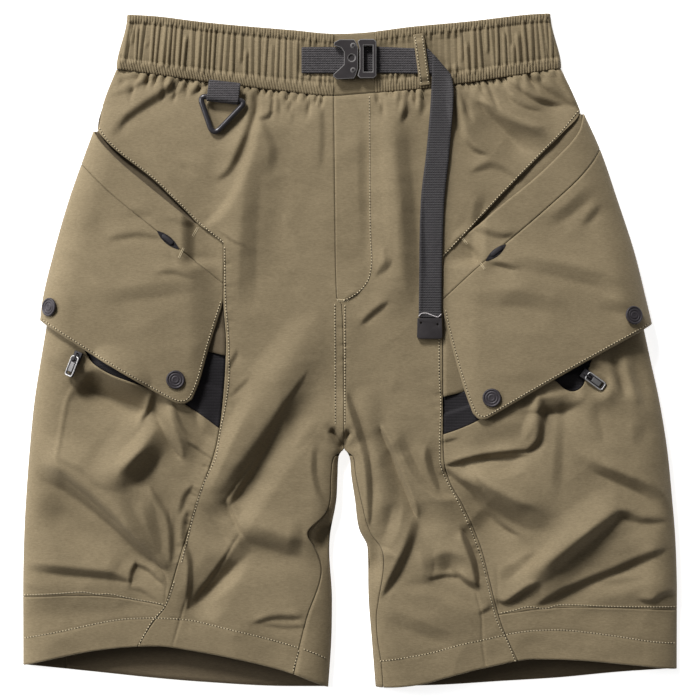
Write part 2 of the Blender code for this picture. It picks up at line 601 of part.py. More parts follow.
def saddle_piece(half, name, top, foot, inner_edge, rows):
    """A piece of the saddle flap: top and foot lines run from the side fold inwards, and its outer end
    turns under the garment."""
    upper = even_points(top, SADDLE_COLUMNS + 1)
    lower = even_points(foot, SADDLE_COLUMNS + 1)
    inner = even_points(inner_edge, rows + 1)
    fold_ys = np.linspace(top[0][1], foot[0][1], rows + 1)
    u = np.concatenate([[0, 0.004, 0.02, 0.06, 0.12], np.linspace(0.2, 1, SADDLE_COLUMNS - 3)])
    columns = np.linspace(0, 1, SADDLE_COLUMNS + 1)
    upper, lower = (
        np.stack([np.interp(u, columns, line[:, k]) for k in (0, 1)], 1)
        for line in (upper, lower)
    )
    grid = []
    for k, v in enumerate(np.linspace(0, 1, rows + 1)):
        fold = np.array([half.saddle_x(fold_ys[k]), fold_ys[k]])
        ends = (1 - v) * (upper[0] + (upper[-1] - upper[0]) * u[:, None]) + v * (
            lower[0] + (lower[-1] - lower[0]) * u[:, None]
        )
        line = (1 - v) * upper + v * lower + (1 - u)[:, None] * fold + u[:, None] * inner[k] - ends
        z = saddle_height(half, line[:, 0], line[:, 1])
        z[0] = fold_z(fold[1])
        steps = np.array([SADDLE_UNDER, 6.0, 2.2, 0.5])
        under = np.column_stack([line[0, 0] - half.sign * steps, np.full(4, line[0, 1]), np.zeros(4)])
        under[:, 2] = FLAP_CLOTH / 2 + (z[0] - FLAP_CLOTH / 2) * (1 - rounded(steps / UNDER_ROUND))
        grid.append(np.concatenate([under, np.column_stack([line, z])]))
    return wall(name, [grid], FLAP_CLOTH, khaki())


def saddle(half):
    """The saddle flap: a welt above the hidden zip and the flap below it."""
    seam = GAP / 2 + 0.1
    zip_upper = [(x, y + seam) for x, y in half.hidden_zip]
    zip_lower = [(x, y - seam) for x, y in half.hidden_zip]
    welt_edge = [half.mouth[-1], zip_upper[-1]]
    flap_edge = [zip_lower[-1]] + list(half.side[1:])
    saddle_piece(half, f"pocket_welt_{half.name}", half.mouth, zip_upper, welt_edge, 2)
    saddle_piece(half, f"pocket_flap_{half.name}", zip_lower, half.foot, flap_edge, SADDLE_ROWS)


BAND_FRONT = BAND / 2 + BAND + 0.9
TAB_SPAN = (-13.0, 20.0)


def band_sections(share):
    """The waistband from the plain middle's left end, round the back, to its right end."""
    bow = 8.5 * eased(share)
    left, right = -187 + bow, 169 - bow
    low, high = BAND / 2, BAND_FRONT
    radius = (high - low) / 2
    turn = np.linspace(0, math.pi, 7)[1:-1]
    front_left = np.linspace(TAB_SPAN[0] - GAP / 2, left + radius, BAND_COLUMNS)
    back = np.linspace(left + radius, right - radius, 2 * BAND_COLUMNS)
    front_right = np.linspace(right - radius, TAB_SPAN[1] + GAP / 2, BAND_COLUMNS)
    x = np.concatenate([front_left, left + radius - radius * np.sin(turn), back,
                        right - radius + radius * np.sin(turn), front_right])
    z = np.concatenate([np.full(BAND_COLUMNS, high), low + radius + radius * np.cos(turn),
                        np.full(2 * BAND_COLUMNS, low), low + radius - radius * np.cos(turn),
                        np.full(BAND_COLUMNS, high)])
    y = waist_y(x) + share * (waist_top_y(x) - waist_y(x))
    return np.stack([x, y, z], 1)


def waistband():
    """One elastic band round the sides and back, and the plain piece that joins it in front."""
    rows = [band_sections(share) for share in np.linspace(0, 1, BAND_ROWS + 1)]
    wall("waistband", [rows], BAND, khaki(), 0.99)
    grid = []
    for share in np.linspace(0, 1, BAND_ROWS + 1):
        x = np.linspace(TAB_SPAN[0] + GAP / 2, TAB_SPAN[1] - GAP / 2, 4)
        y = waist_y(x) + share * (waist_top_y(x) - waist_y(x))
        grid.append(np.stack([x, y, np.full(4, BAND_FRONT)], 1))
    wall("waistband_tab", [grid], BAND, khaki())


def frame_at(place, forward, up):
    """A right-handed frame: forward along x, up along z as nearly as it can be."""
    z = Vector(up).normalized()
    x = Vector(forward)
    x = (x - z * x.dot(z)).normalized()
    y = z.cross(x)
    made = Matrix((x, y, z)).transposed().to_4x4()
    made.translation = Vector(place)
    return made


def slope_frame(height, x, y, forward, roll=0.0):
    """A frame whose z stands square to the cloth's height function at a place."""
    step = 5.0
    rise_x = float(height(x + step, y) - height(x - step, y)) / (2 * step)
    rise_y = float(height(x, y + step) - height(x, y - step)) / (2 * step)
    up = Vector((-rise_x, -rise_y, 1)).normalized()
    ahead = Vector((forward[0], forward[1], 0))
    ahead = (ahead - up * ahead.dot(up)).normalized()
    up = Matrix.Rotation(math.radians(roll), 3, ahead) @ up
    return frame_at((x, y, float(height(x, y))), ahead, up)


def seated(frame, reach_x, reach_y, height, clear):
    """Move a frame up its own z until its footprint clears the cloth by the distance given."""
    up = frame.col[2].to_3d()
    most = -1e9
    for a in np.linspace(-reach_x, reach_x, 7):
        for b in np.linspace(-reach_y, reach_y, 7):
            p = frame @ Vector((a, b, 0))
            most = max(most, (float(height(p.x, p.y)) - p.z) * up.z)
    frame.translation = frame.translation + up * (most + clear)
    return frame


def turned(name, profile, frame, finish, segments=16):
    """A disc turned about the frame's z from rows of (radius, height)."""
    form = bmesh.new()
    rings = []
    for radius, height in profile:
        angles = [2 * math.pi * k / segments for k in range(segments)]
        ring = [frame @ Vector((radius * math.cos(a), radius * math.sin(a), height)) for a in angles]
        rings.append([form.verts.new(p) for p in ring])
    for lower, upper in zip(rings, rings[1:]):
        for k in range(segments):
            n = (k + 1) % segments
            form.faces.new((lower[k], lower[n], upper[n], upper[k]))
    form.faces.new(list(reversed(rings[0])))
    form.faces.new(rings[-1])
    return finished(name, form, finish)


def snaps():
    """Press stud caps, each square to the flap and seated on it."""
    for name, side, (x, y) in SNAPS:
        half = HALVES[side]

        def height(a, b, half=half):
            return saddle_height(half, np.asarray(a, float), np.asarray(b, float))

        frame = slope_frame(height, x, y, (1, 0))
        radius = SNAP_PROFILE[0][0] * 0.72
        frame = seated(frame, radius, radius, height, FLAP_CLOTH / 2 + 0.3)
        turned(name, SNAP_PROFILE, frame, metal())


def circle(centre, radius, count=14):
    angles = [2 * math.pi * k / count for k in range(count)]
    return [(centre[0] + radius * math.cos(a), centre[1] + radius * math.sin(a)) for a in angles]


def plate(name, outline, holes, bosses, low, high, finish, frame=None):
    """A plate between two heights with holes through it. A boss is (outline, height above the top), a
    hollow where the height is below 0."""
    form = bmesh.new()
    place = frame or Matrix.Identity(4)

    def vert(p, z):
        return form.verts.new(place @ Vector((p[0], p[1], z)))

    def caps(loops, rows, flip):
        corners = [[Vector((p[0], p[1], 0)) for p in loop] for loop in loops]
        flat = [v for row in rows for v in row]
        for tri in tessellate_polygon(corners):
            picked = [flat[k] for k in tri]
            form.faces.new(list(reversed(picked)) if flip else picked)

    def sides(lower, upper):
        for k in range(len(lower)):
            n = (k + 1) % len(lower)
            form.faces.new((lower[k], lower[n], upper[n], upper[k]))

    through = [outline] + list(holes)
    foot = [[vert(p, low) for p in loop] for loop in through]
    top = [[vert(p, high) for p in loop] for loop in through]
    for lower, upper in zip(foot, top):
        sides(lower, upper)
    caps(through, foot, True)
    raised_foot = [[vert(p, high) for p in loop] for loop, _ in bosses]
    caps(through + [loop for loop, _ in bosses], top + raised_foot, False)
    for (loop, height), lower in zip(bosses, raised_foot):
        upper = [vert(p, high + height) for p in loop]
        sides(lower, upper)
        caps([loop], [upper], False)
    return finished(name, form, finish)


def belt():
    """Webbing tab, buckle, webbing, loop, hanging strap and its end clip."""
    on_band = BAND_FRONT + BAND / 2 + LAYER
    plate("belt_tab", TAB_OUTLINE, [], [], on_band, on_band + WEBBING, black_webbing())
    plate("belt_webbing", BELT_OUTLINE, [], [], on_band, on_band + WEBBING, black_webbing())
    low = on_band + WEBBING + 0.3
    high = low + BUCKLE_HEIGHT
    rivets = [(circle(p, RIVET_RADIUS), RIVET_HEIGHT) for p in RIVETS]
    notch = [(circle(NOTCH, NOTCH_RADIUS), NOTCH_DEPTH)]
    plate("buckle_hook", BUCKLE_HOOK, [], rivets + notch, low, high, plastic())
    plate("buckle_frame", BUCKLE_FRAME, [BUCKLE_SLOT], [], low, high, plastic())
    belt_loop(on_band)
    strap(on_band)


def belt_loop(on_band):
    """A narrow strip of the garment's cloth, on the band at both ends and over the webbing between."""
    ends = on_band + LOOP_CLOTH / 2
    over = on_band + WEBBING + 0.3 + LOOP_CLOTH / 2
    heights = ((0, ends), (0.1, ends), (0.17, over), (0.82, over), (0.9, ends), (1, ends))
    start, end = np.array(LOOP_TOP), np.array(LOOP_FOOT)
    way = (end - start) / np.linalg.norm(end - start)
    aside = np.array([-way[1], way[0]]) * LOOP_WIDTH / 2
    grid = []
    for share, z in heights:
        middle = start + share * (end - start)
        grid.append([(*(middle + aside), z), (*middle, z), (*(middle - aside), z)])
    wall("belt_loop", [grid], LOOP_CLOTH, khaki())


def strap(on_band):
    """The hanging end of the belt. It leaves the band over its own lower layer, then lies on the front."""
    left_x = smooth_table(STRAP_LEFT, 1)
    right_x = smooth_table(STRAP_RIGHT, 1)
    shares = np.linspace(0, 1, STRAP_ROWS + 1)
    grid = []
    for share in shares:
        y_left = STRAP_LEFT[0][1] + share * (STRAP_LEFT[-1][1] - STRAP_LEFT[0][1])
        y_right = STRAP_RIGHT[0][1] + share * (STRAP_RIGHT[-1][1] - STRAP_RIGHT[0][1])
        t = np.array([0, 0.5, 1.0])
        x = left_x(y_left) + t * (right_x(y_right) - left_x(y_left))
        y = y_left + t * (y_right - y_left)
        grid.append(np.stack([x, y, strap_seat(on_band, x, y)], 1))
    wall("belt_strap", [grid], WEBBING, black_webbing())
    middle = np.mean(TIP_OUTLINE, axis=0)

    def front_top(x, y):
        return front_height(RIGHT, np.asarray(x, float), np.asarray(y, float)) + CLOTH / 2

    frame = slope_frame(front_top, float(middle[0]), float(middle[1]), (1, 0))
    frame = seated(frame, 10, 8.5, front_top, 0.5)
    outline = [(x - middle[0], y - middle[1]) for x, y in reversed(TIP_OUTLINE)]
    holes = [circle((x - middle[0], y - middle[1]), 0.9, 8) for x, y in TIP_HOLES]
    plate("belt_tip", outline, holes, [], 0, TIP_HEIGHT, plastic(), frame)


def strap_seat(on_band, x, y):
    """Height of the strap's middle over whatever is under it, with a little slack along its length."""
    highest = np.full(len(x), -1e9)
    for along in (-12, -8, -4, 0, 4, 8, 12):
        for aside in (-6, -3, 0, 3, 6):
            under = front_height(RIGHT, x + aside, y + along) + CLOTH / 2
            on_webbing = eased((y + along - 214) / 6)
            on_cloth = eased((y + along - 200) / 6)
            under = np.where(y + along > waist_y(x) - 1, 0, under)
            band = (on_band - LAYER) * (y + along > waist_y(x) - 2)
            webbing = (on_band + WEBBING) * on_webbing
            highest = np.maximum.reduce([highest, under, band, webbing * (on_cloth > 0.5)])
    return highest + LAYER + 0.4 + WEBBING / 2


def ring_frame():
    """The frame of the ring: origin in the middle of its bar, x along the bar, -y towards its point."""
    left, right = (np.array(p) for p in RING_CORNERS[:2])
    bar = (left + right) / 2
    point = np.array(RING_CORNERS[2])

    def front_top(x, y):
        return float(front_height(LEFT, np.asarray(x, float), np.asarray(y, float))) + CLOTH / 2

    low_layer = RING_LOOP_CLOTH + LAYER + 0.75 + RING_WIRE
    bar_z = max(front_top(*(bar + (right - left) * t)) for t in (-0.5, -0.25, 0, 0.25, 0.5)) + low_layer
    reach = np.linalg.norm(point - bar)
    rises = []
    for t in (0.3, 0.5, 0.7, 0.85, 1.0):
        for corner in (left, right):
            at = corner + (point - corner) * t
            rises.append((front_top(*at) + RING_WIRE + LAYER + 0.2 - bar_z) / (reach * t))
    tilt = max(rises)
    way = point - bar
    along = Vector((*(right - left), 0)).normalized()
    down = Vector((way[0], way[1], 0))
    down = (down - along * down.dot(along)).normalized()
    up = Vector((0, 0, 1)) + down * -tilt
    return frame_at((bar[0], bar[1], bar_z), along, up)


def ring(frame):
    """Wire bent to a triangle with rounded corners."""
    left, right, point = (Vector((*p, 0)) for p in RING_CORNERS)
    bar = (left + right) / 2
    along = (right - left).normalized()
    across = Vector((-along.y, along.x, 0))
    corners = [Vector(((p - bar).dot(along), (p - bar).dot(across), 0)) for p in (left, right, point)]
    path = []
    for k, corner in enumerate(corners):
        before = (corners[k - 1] - corner).normalized()
        after = (corners[(k + 1) % 3] - corner).normalized()
        half_angle = before.angle(after) / 2
        radius = RING_FILLETS[k]
        centre = corner + (before + after).normalized() * radius / math.sin(half_angle)
        first = corner + before * radius / math.tan(half_angle) - centre
        sweep = math.pi - 2 * half_angle
        turn = -1 if before.cross(after).z > 0 else 1
        for step in range(6):
            path.append(centre + Matrix.Rotation(turn * sweep * step / 5, 3, "Z") @ first)
    form = bmesh.new()
    rings = []
    for k, p in enumerate(path):
        ahead = (path[(k + 1) % len(path)] - path[k - 1]).normalized()
        side = Vector((-ahead.y, ahead.x, 0))
        angles = [2 * math.pi * n / 10 for n in range(10)]
        rings.append([
            form.verts.new(frame @ (p + RING_WIRE * (math.cos(a) * side + math.sin(a) * Vector((0, 0, 1)))))
            for a in angles
        ])
    for k, row in enumerate(rings):
        after = rings[(k + 1) % len(rings)]
        for n in range(10):
            m = (n + 1) % 10
            form.faces.new((row[n], row[m], after[m], after[n]))
    return finished("ring", form, metal())


def ring_loop(frame):
    """Webbing folded round the ring's bar, its two ends sewn together under the waistband."""
    around = RING_WIRE + 0.45 + RING_LOOP_CLOTH / 2
    reach = RING_LOOP_REACH
    closed = RING_LOOP_CLOTH / 2 + 0.2
    path = [(reach, closed), (0.55 * reach, 0.75 * around)]
    path += [(around * math.sin(a), around * math.cos(a)) for a in np.linspace(0, -math.pi, 7)]
    path += [(0.55 * reach, -0.75 * around), (reach, -closed)]
    x_axis = frame.col[0].to_3d()
    y_axis = Vector((-x_axis.y, x_axis.x, 0))
    widths = np.linspace(-0.5, 0.5, RING_LOOP_COLUMNS + 1) * RING_LOOP_WIDTH
    grid = []
    for back, rise in path:
        start = frame.translation + y_axis * back + Vector((0, 0, rise))
        grid.append([start + x_axis * t for t in widths])
    wall("ring_loop", [grid], RING_LOOP_CLOTH, black_webbing())


def cells(name, cuts, filled, frame, finish):
    """A solid made of the filled cells of a small grid. Only faces between full and empty are kept."""
    form = bmesh.new()
    corner = {}

    def vert(i, j, k):
        if (i, j, k) not in corner:
            corner[i, j, k] = form.verts.new(frame @ Vector((cuts[0][i], cuts[1][j], cuts[2][k])))
        return corner[i, j, k]

    for i, j, k in filled:
        for axis in range(3):
            a, b = (axis + 1) % 3, (axis + 2) % 3
            for side in (0, 1):
                beside = [i, j, k]
                beside[axis] += 2 * side - 1
                if tuple(beside) in filled:
                    continue
                loop = []
                for p, q in ((0, 0), (1, 0), (1, 1), (0, 1)):
                    at = [i, j, k]
                    at[axis] += side
                    at[a] += p
                    at[b] += q
                    loop.append(vert(*at))
                form.faces.new(loop if side else loop[::-1])
    return finished(name, form, finish)


def tape_top(half):
    """Height of the cloth under a zip slider and its pull: the lower tape, then the cargo pocket."""

    def height(x, y):
        x, y = np.asarray(x, float), np.asarray(y, float)
        on_tape = TAPE_DROP * (y > half.cargo_y(x) + 1)
        return front_height(half, x, y) + CLOTH / 2 - on_tape

    return height


def zip_slider(side, hinge, toward, roll):
    """A slider body with the low arch that holds its pull, as one solid."""
    half = HALVES[side]
    height = tape_top(half)
    frame = slope_frame(height, hinge[0], hinge[1], toward, roll)
    frame = seated(frame, SLIDER_LENGTH / 2, SLIDER_WIDTH / 2, height, 0.5)
    leg = ARCH_REACH + ARCH_WIRE
    inside = SLIDER_HEIGHT + ARCH_INSIDE
    cuts = ((-SLIDER_LENGTH / 2, -leg, -ARCH_REACH, ARCH_REACH, leg, SLIDER_LENGTH / 2),
            (-SLIDER_WIDTH / 2, -ARCH_WIDTH / 2, ARCH_WIDTH / 2, SLIDER_WIDTH / 2),
            (0, SLIDER_HEIGHT, inside, inside + ARCH_WIRE))
    body = {(i, j, 0) for i in range(5) for j in range(3)}
    legs = {(1, 1, 1), (3, 1, 1)}
    top = {(1, 1, 2), (2, 1, 2), (3, 1, 2)}
    cells(f"zip_slider_{side}", cuts, body | legs | top, frame, metal())
    return frame


def zip_pull(side, frame):
    """A flat pull whose end bar lies under the slider's arch. Its origin is on the hinge axis."""
    half = HALVES[side]
    height = tape_top(half)
    hinge = frame @ Vector((0, 0, SLIDER_HEIGHT + PULL_CLEAR + PULL_BAR / 2))
    x_axis, y_axis, z_axis = (frame.col[k].to_3d() for k in range(3))
    steepest = -1e9
    for s in np.linspace(SLIDER_LENGTH / 2, PULL_LENGTH + 0.3, 9):
        for aside in (-PULL_WIDTH / 2, 0, PULL_WIDTH / 2):
            p = hinge + x_axis * s + y_axis * aside
            need = (float(height(p.x, p.y)) - p.z) * z_axis.z + PULL_THICK / 2 + 0.5
            steepest = max(steepest, need / s)
    angle = max(math.atan(steepest), -math.atan2(PULL_CLEAR - 0.3, SLIDER_LENGTH / 2))
    lie = Matrix.Rotation(-angle, 3, y_axis)
    place = frame_at(hinge, lie @ x_axis, lie @ z_axis)
    half_width = PULL_WIDTH / 2
    outline = [(-PULL_BAR / 2, -half_width + 1), (0.6, -half_width), (PULL_LENGTH - 1, -half_width),
               (PULL_LENGTH, -half_width + 1), (PULL_LENGTH, half_width - 1),
               (PULL_LENGTH - 1, half_width), (0.6, half_width), (-PULL_BAR / 2, half_width - 1)]
    window = [(PULL_WINDOW[0], -PULL_WINDOW_WIDTH / 2), (PULL_WINDOW[1], -PULL_WINDOW_WIDTH / 2),
              (PULL_WINDOW[1], PULL_WINDOW_WIDTH / 2), (PULL_WINDOW[0], PULL_WINDOW_WIDTH / 2)]
    slot = [(PULL_SLOT[0], -PULL_SLOT_WIDTH / 2), (PULL_SLOT[1], -PULL_SLOT_WIDTH / 2),
            (PULL_SLOT[1], PULL_SLOT_WIDTH / 2), (PULL_SLOT[0], PULL_SLOT_WIDTH / 2)]
    made = plate(f"zip_pull_{side}", outline, [window, slot], [], -PULL_THICK / 2, PULL_THICK / 2,
                 metal(), place)
    set_origin(made, hinge)


def set_origin(obj, place):
    at = Vector(place) * MM
    obj.data.transform(Matrix.Translation(-at))
    obj.location = at


def hidden_sliders():
    for side, place, toward in HIDDEN_SLIDERS:
        half = HALVES[side]

        def height(x, y, half=half):
            return saddle_height(half, np.asarray(x, float), np.asarray(y, float))

        frame = slope_frame(height, place[0], place[1], toward)
        frame = seated(frame, HIDDEN_LENGTH / 2, HIDDEN_WIDTH / 2, height, FLAP_CLOTH / 2 + 0.3)
        l, w = HIDDEN_LENGTH / 2, HIDDEN_WIDTH / 2
        outline = [(-l, -w + 1.2), (-l + 1.2, -w), (l - 1.2, -w), (l, -w + 1.2), (l, w - 1.2),
                   (l - 1.2, w), (-l + 1.2, w), (-l, w - 1.2)]
        plate(f"hidden_slider_{side}", outline, [], [], 0, HIDDEN_HEIGHT, plastic(), frame)


def main():
    for obj in list(bpy.data.objects):
        bpy.data.objects.remove(obj, do_unlink=True)
    seam = GAP / 2 + 0.3
    for half in (LEFT, RIGHT):
        front_panel(half)
        back_panel(half)
        hand_pocket_side(half)
        side_piece(half, f"zip_tape_{half.name}", lambda x: half.zip_y(x) - seam,
                   lambda x: half.cargo_y(x) + seam, 2, lambda x, y: TAPE_DROP, black_webbing())
        side_piece(half, f"cargo_pocket_{half.name}", lambda x: half.cargo_y(x) - seam,
                   lambda x: half.cargo_foot_y(x) + seam, CARGO_ROWS, lambda x, y: 0.0, khaki())
        side_piece(half, f"side_hem_{half.name}", lambda x: half.cargo_foot_y(x) - seam,
                   front_hem_y, HEM_ROWS, lambda x, y: 0.0, khaki())
        saddle(half)
    waistband()
    snaps()
    belt()
    frame = ring_frame()
    made = ring(frame)
    set_origin(made, frame.translation)
    ring_loop(frame)
    for side, hinge, toward, roll in PULLS:
        zip_pull(side, zip_slider(side, hinge, toward, roll))
    hidden_sliders()


main()
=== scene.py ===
import math

import bmesh
import bpy
import numpy as np
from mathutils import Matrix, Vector


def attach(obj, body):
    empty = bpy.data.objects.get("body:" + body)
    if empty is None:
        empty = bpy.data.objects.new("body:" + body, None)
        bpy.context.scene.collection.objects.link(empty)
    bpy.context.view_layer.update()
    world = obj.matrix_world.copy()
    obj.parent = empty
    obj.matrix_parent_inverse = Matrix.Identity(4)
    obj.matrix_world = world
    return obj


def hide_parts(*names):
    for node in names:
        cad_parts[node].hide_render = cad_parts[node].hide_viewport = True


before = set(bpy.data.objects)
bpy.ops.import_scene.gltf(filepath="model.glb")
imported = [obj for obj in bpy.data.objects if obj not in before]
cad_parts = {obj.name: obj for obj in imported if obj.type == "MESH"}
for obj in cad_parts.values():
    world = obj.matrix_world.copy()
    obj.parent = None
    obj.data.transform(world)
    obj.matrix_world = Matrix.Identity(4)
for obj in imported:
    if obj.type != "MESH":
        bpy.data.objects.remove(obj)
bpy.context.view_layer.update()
print("loaded", len(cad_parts), "nodes")

mm = 0.001
square = 0.8  # one square of the drawing grid, in mm; squares count from its upper left corner
sheetSize = 700  # squares each way
rng = np.random.default_rng(11)


class Wire:
    # one socket in a material, so that sums of sockets read as sums
    def __init__(self, tree, socket=None):
        self.tree = tree
        self.socket = socket

    def node(self, kind, settings=None, inputs=None, output=0):
        made = self.tree.nodes.new(kind)
        for key, value in (settings or {}).items():
            if key == "stops":
                for stop, (at, colour) in zip(made.color_ramp.elements, value):
                    stop.position = at
                    stop.color = (*colour, 1)
            else:
                setattr(made, key, value)
        for key, value in (inputs or {}).items():
            if isinstance(value, Wire):
                self.tree.links.new(value.socket, made.inputs[key])
            else:
                made.inputs[key].default_value = value
        return Wire(self.tree, made.outputs[output] if len(made.outputs) else None)

    def maths(self, operation, first, second=0.0):
        return self.node("ShaderNodeMath", {"operation": operation}, {0: first, 1: second})

    def __add__(self, other):
        return self.maths("ADD", self, other)

    def __radd__(self, other):
        return self.maths("ADD", other, self)

    def __sub__(self, other):
        return self.maths("SUBTRACT", self, other)

    def __rsub__(self, other):
        return self.maths("SUBTRACT", other, self)

    def __mul__(self, other):
        return self.maths("MULTIPLY", self, other)

    def __rmul__(self, other):
        return self.maths("MULTIPLY", other, self)

    def sine(self):
        return self.maths("SINE", self)

    def clamped(self):
        return self.node("ShaderNodeClamp", {}, {"Value": self})

    def noise(self, place, scale, detail=2.0, roughness=0.5):
        stretched = self.node("ShaderNodeMapping", {}, {"Vector": place, "Scale": scale})
        return self.node("ShaderNodeTexNoise", {}, {"Vector": stretched, "Scale": 1.0,
                                                    "Detail": detail, "Roughness": roughness})

    def parts(self):
        split = self.node("ShaderNodeSeparateXYZ", {}, {"Vector": self})
        return [Wire(self.tree, part) for part in split.socket.node.outputs]

    def blended(self, share, first, second):
        return self.node("ShaderNodeMix", {"data_type": "RGBA"},
                         {0: share, 6: (*first, 1), 7: (*second, 1)}, 2)


def newFinish(name):
    material = bpy.data.materials.new(name)
    material.use_nodes = True
    material.node_tree.nodes.clear()
    wire = Wire(material.node_tree)
    place = wire.node("ShaderNodeTexCoord", output="Object")
    return material, wire, place


def closeFinish(wire, colour, rough, height, strength, distance, extra=None):
    bump = wire.node("ShaderNodeBump", {}, {"Height": height, "Strength": strength,
                                            "Distance": distance})
    inputs = {"Base Color": colour, "Roughness": rough, "Normal": bump}
    inputs.update(extra or {})
    shader = wire.node("ShaderNodeBsdfPrincipled", {}, inputs)
    wire.node("ShaderNodeOutputMaterial", {}, {"Surface": shader})


canvas = {"dark": (0.156, 0.120, 0.068), "light": (0.249, 0.196, 0.117), "roughness": 0.74,
          "streakLong": 3.4, "streakShort": 0.75, "slub": 1.5, "thread": 0.6}


def canvasFinish(name, dark, light):
    material, wire, place = newFinish(name)
    streaks = wire.noise(place, (1 / (canvas["streakLong"] * mm), 1 / (canvas["streakShort"] * mm),
                                 1 / (2.0 * mm)), 2.0, 0.7)
    grains = wire.noise(place, (1 / (0.9 * mm), 1 / (0.7 * mm), 1 / (1.0 * mm)), 1.0, 0.5)
    patches = wire.noise(place, (28.0, 34.0, 40.0), 3.0, 0.55)
    across, down = place.parts()[:2]
    turn = 2 * math.pi / (canvas["thread"] * mm)
    weave = (across * turn).sine() * (down * turn).sine()
    share = (streaks - 0.5) * canvas["slub"] + (grains - 0.5) * 0.5 + (patches - 0.5) * 0.6
    colour = wire.blended((share + weave * 0.08 + 0.5).clamped(), dark, light)
    rough = (streaks - 0.5) * 0.12 + canvas["roughness"]
    height = streaks * 0.5 + grains * 0.35 + weave * 0.15
    closeFinish(wire, colour, rough, height, 0.34, 0.0005,
                {"Sheen Weight": 0.05, "Sheen Roughness": 0.5, "Specular IOR Level": 0.18})
    return material


khaki = canvasFinish("khaki_canvas", canvas["dark"], canvas["light"])
# a darker copy of the same canvas: painted shade on the cloth's inner faces, such as the inside of
# the back seen at the leg openings
khakiPaintedShade = canvasFinish("khaki_canvas_painted_shade", (0.085, 0.063, 0.038), (0.13, 0.10, 0.06))


def webbingFinish(name, dark, light, ribWidth, deep=1.0):
    # ribs run along the webbing, and the picks that cross them make its small dashes
    material, wire, place = newFinish(name)
    along, across = place.parts()[:2]
    ribs = (across * (2 * math.pi / (ribWidth * mm))).sine()
    picks = (along * (2 * math.pi / (1.9 * mm))).sine()
    fuzz = wire.noise(place, (700.0, 700.0, 700.0), 2.0, 0.6)
    weave = ribs * 0.3 + ribs * picks * 0.2 + 0.5
    colour = wire.blended((weave * 0.8 + (fuzz - 0.5) * 1.2 + 0.05).clamped(), dark, light)
    closeFinish(wire, colour, fuzz * 0.2 + 0.6, weave * 0.75 + fuzz * 0.25, 0.7, 0.0009 * deep,
                {"Sheen Weight": 0.04, "Specular IOR Level": 0.25})
    return material


webbing = webbingFinish("black_webbing_along", (0.012, 0.011, 0.012), (0.098, 0.089, 0.092), 1.9)
webbingDown = webbingFinish("black_webbing_down", (0.018, 0.016, 0.018), (0.064, 0.060, 0.061), 2.0)
tapeFinish = webbingFinish("black_zip_tape", (0.003, 0.0025, 0.003), (0.014, 0.011, 0.014), 1.2,
                           0.6)


def hardFinish(name, dark, light, metallic, roughness, coat=0.0):
    material, wire, place = newFinish(name)
    grains = wire.noise(place, (600.0, 600.0, 600.0), 3.0, 0.6)
    clouds = wire.noise(place, (120.0, 120.0, 120.0), 2.0, 0.5)
    colour = wire.blended(clouds, dark, light)
    closeFinish(wire, colour, grains * 0.18 + (roughness - 0.09), grains, 0.15, 0.0002,
                {"Metallic": metallic, "Coat Weight": coat, "Coat Roughness": 0.25,
                 "Specular IOR Level": 0.22})
    return material


plastic = hardFinish("black_plastic_moulded", (0.023, 0.020, 0.021), (0.042, 0.037, 0.038), 0.0,
                     0.46, 0.08)
# a lighter grey for the buckle's edges: painted highlight along them
plasticEdgeHighlight = hardFinish("black_plastic_painted_edge_highlight", (0.10, 0.095, 0.093), (0.19, 0.18, 0.175), 0.0,
                         0.5)
gunmetal = hardFinish("gunmetal_plated", (0.10, 0.097, 0.097), (0.18, 0.175, 0.175), 0.4, 0.5)
brightMetal = hardFinish("gunmetal_polished", (0.34, 0.33, 0.33), (0.50, 0.49, 0.48), 0.6, 0.42)
blackMetal = hardFinish("black_painted_metal", (0.030, 0.028, 0.031), (0.052, 0.048, 0.053), 0.4,
                        0.33, 0.4)
sliderMetal = hardFinish("slider_painted_metal", (0.016, 0.014, 0.016), (0.034, 0.031, 0.034), 0.1,
                         0.55)
studMetal = hardFinish("stud_painted_metal", (0.030, 0.026, 0.029), (0.060, 0.052, 0.058), 0.2, 0.5)
threadFinish = hardFinish("tan_thread", (0.50, 0.42, 0.27), (0.64, 0.54, 0.37), 0.0, 0.7)
paleThread = hardFinish("pale_thread", (0.50, 0.46, 0.46), (0.62, 0.58, 0.58), 0.0, 0.7)
# very dark brown for the needle holes between stitches: painted shade
needleHoleShade = hardFinish("needle_hole_painted_shade", (0.035, 0.026, 0.016), (0.055, 0.042, 0.026), 0.0, 0.8)
print("finishes made")


def placed(name, data):
    made = bpy.data.objects.new(name, data)
    bpy.context.scene.collection.objects.link(made)
    return made


def nodePoints(name):
    return np.array([v.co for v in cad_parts[name].data.vertices]) / mm


# The garment's lines in mm, +X to the wearer's left hip, +Y to the waist
loft = ((226, 2.7, 4.6), (205, 3.4, 7.5), (177, 4.4, 10.5), (130, 5.4, 13.0), (60, 6.0, 15.0),
        (-60, 6.0, 16.0), (-150, 5.4, 15.0), (-205, 4.4, 14.0), (-240, 3.6, 13.5),
        (-270, 3.2, 13.0))  # y, height of the side fold, height of the front

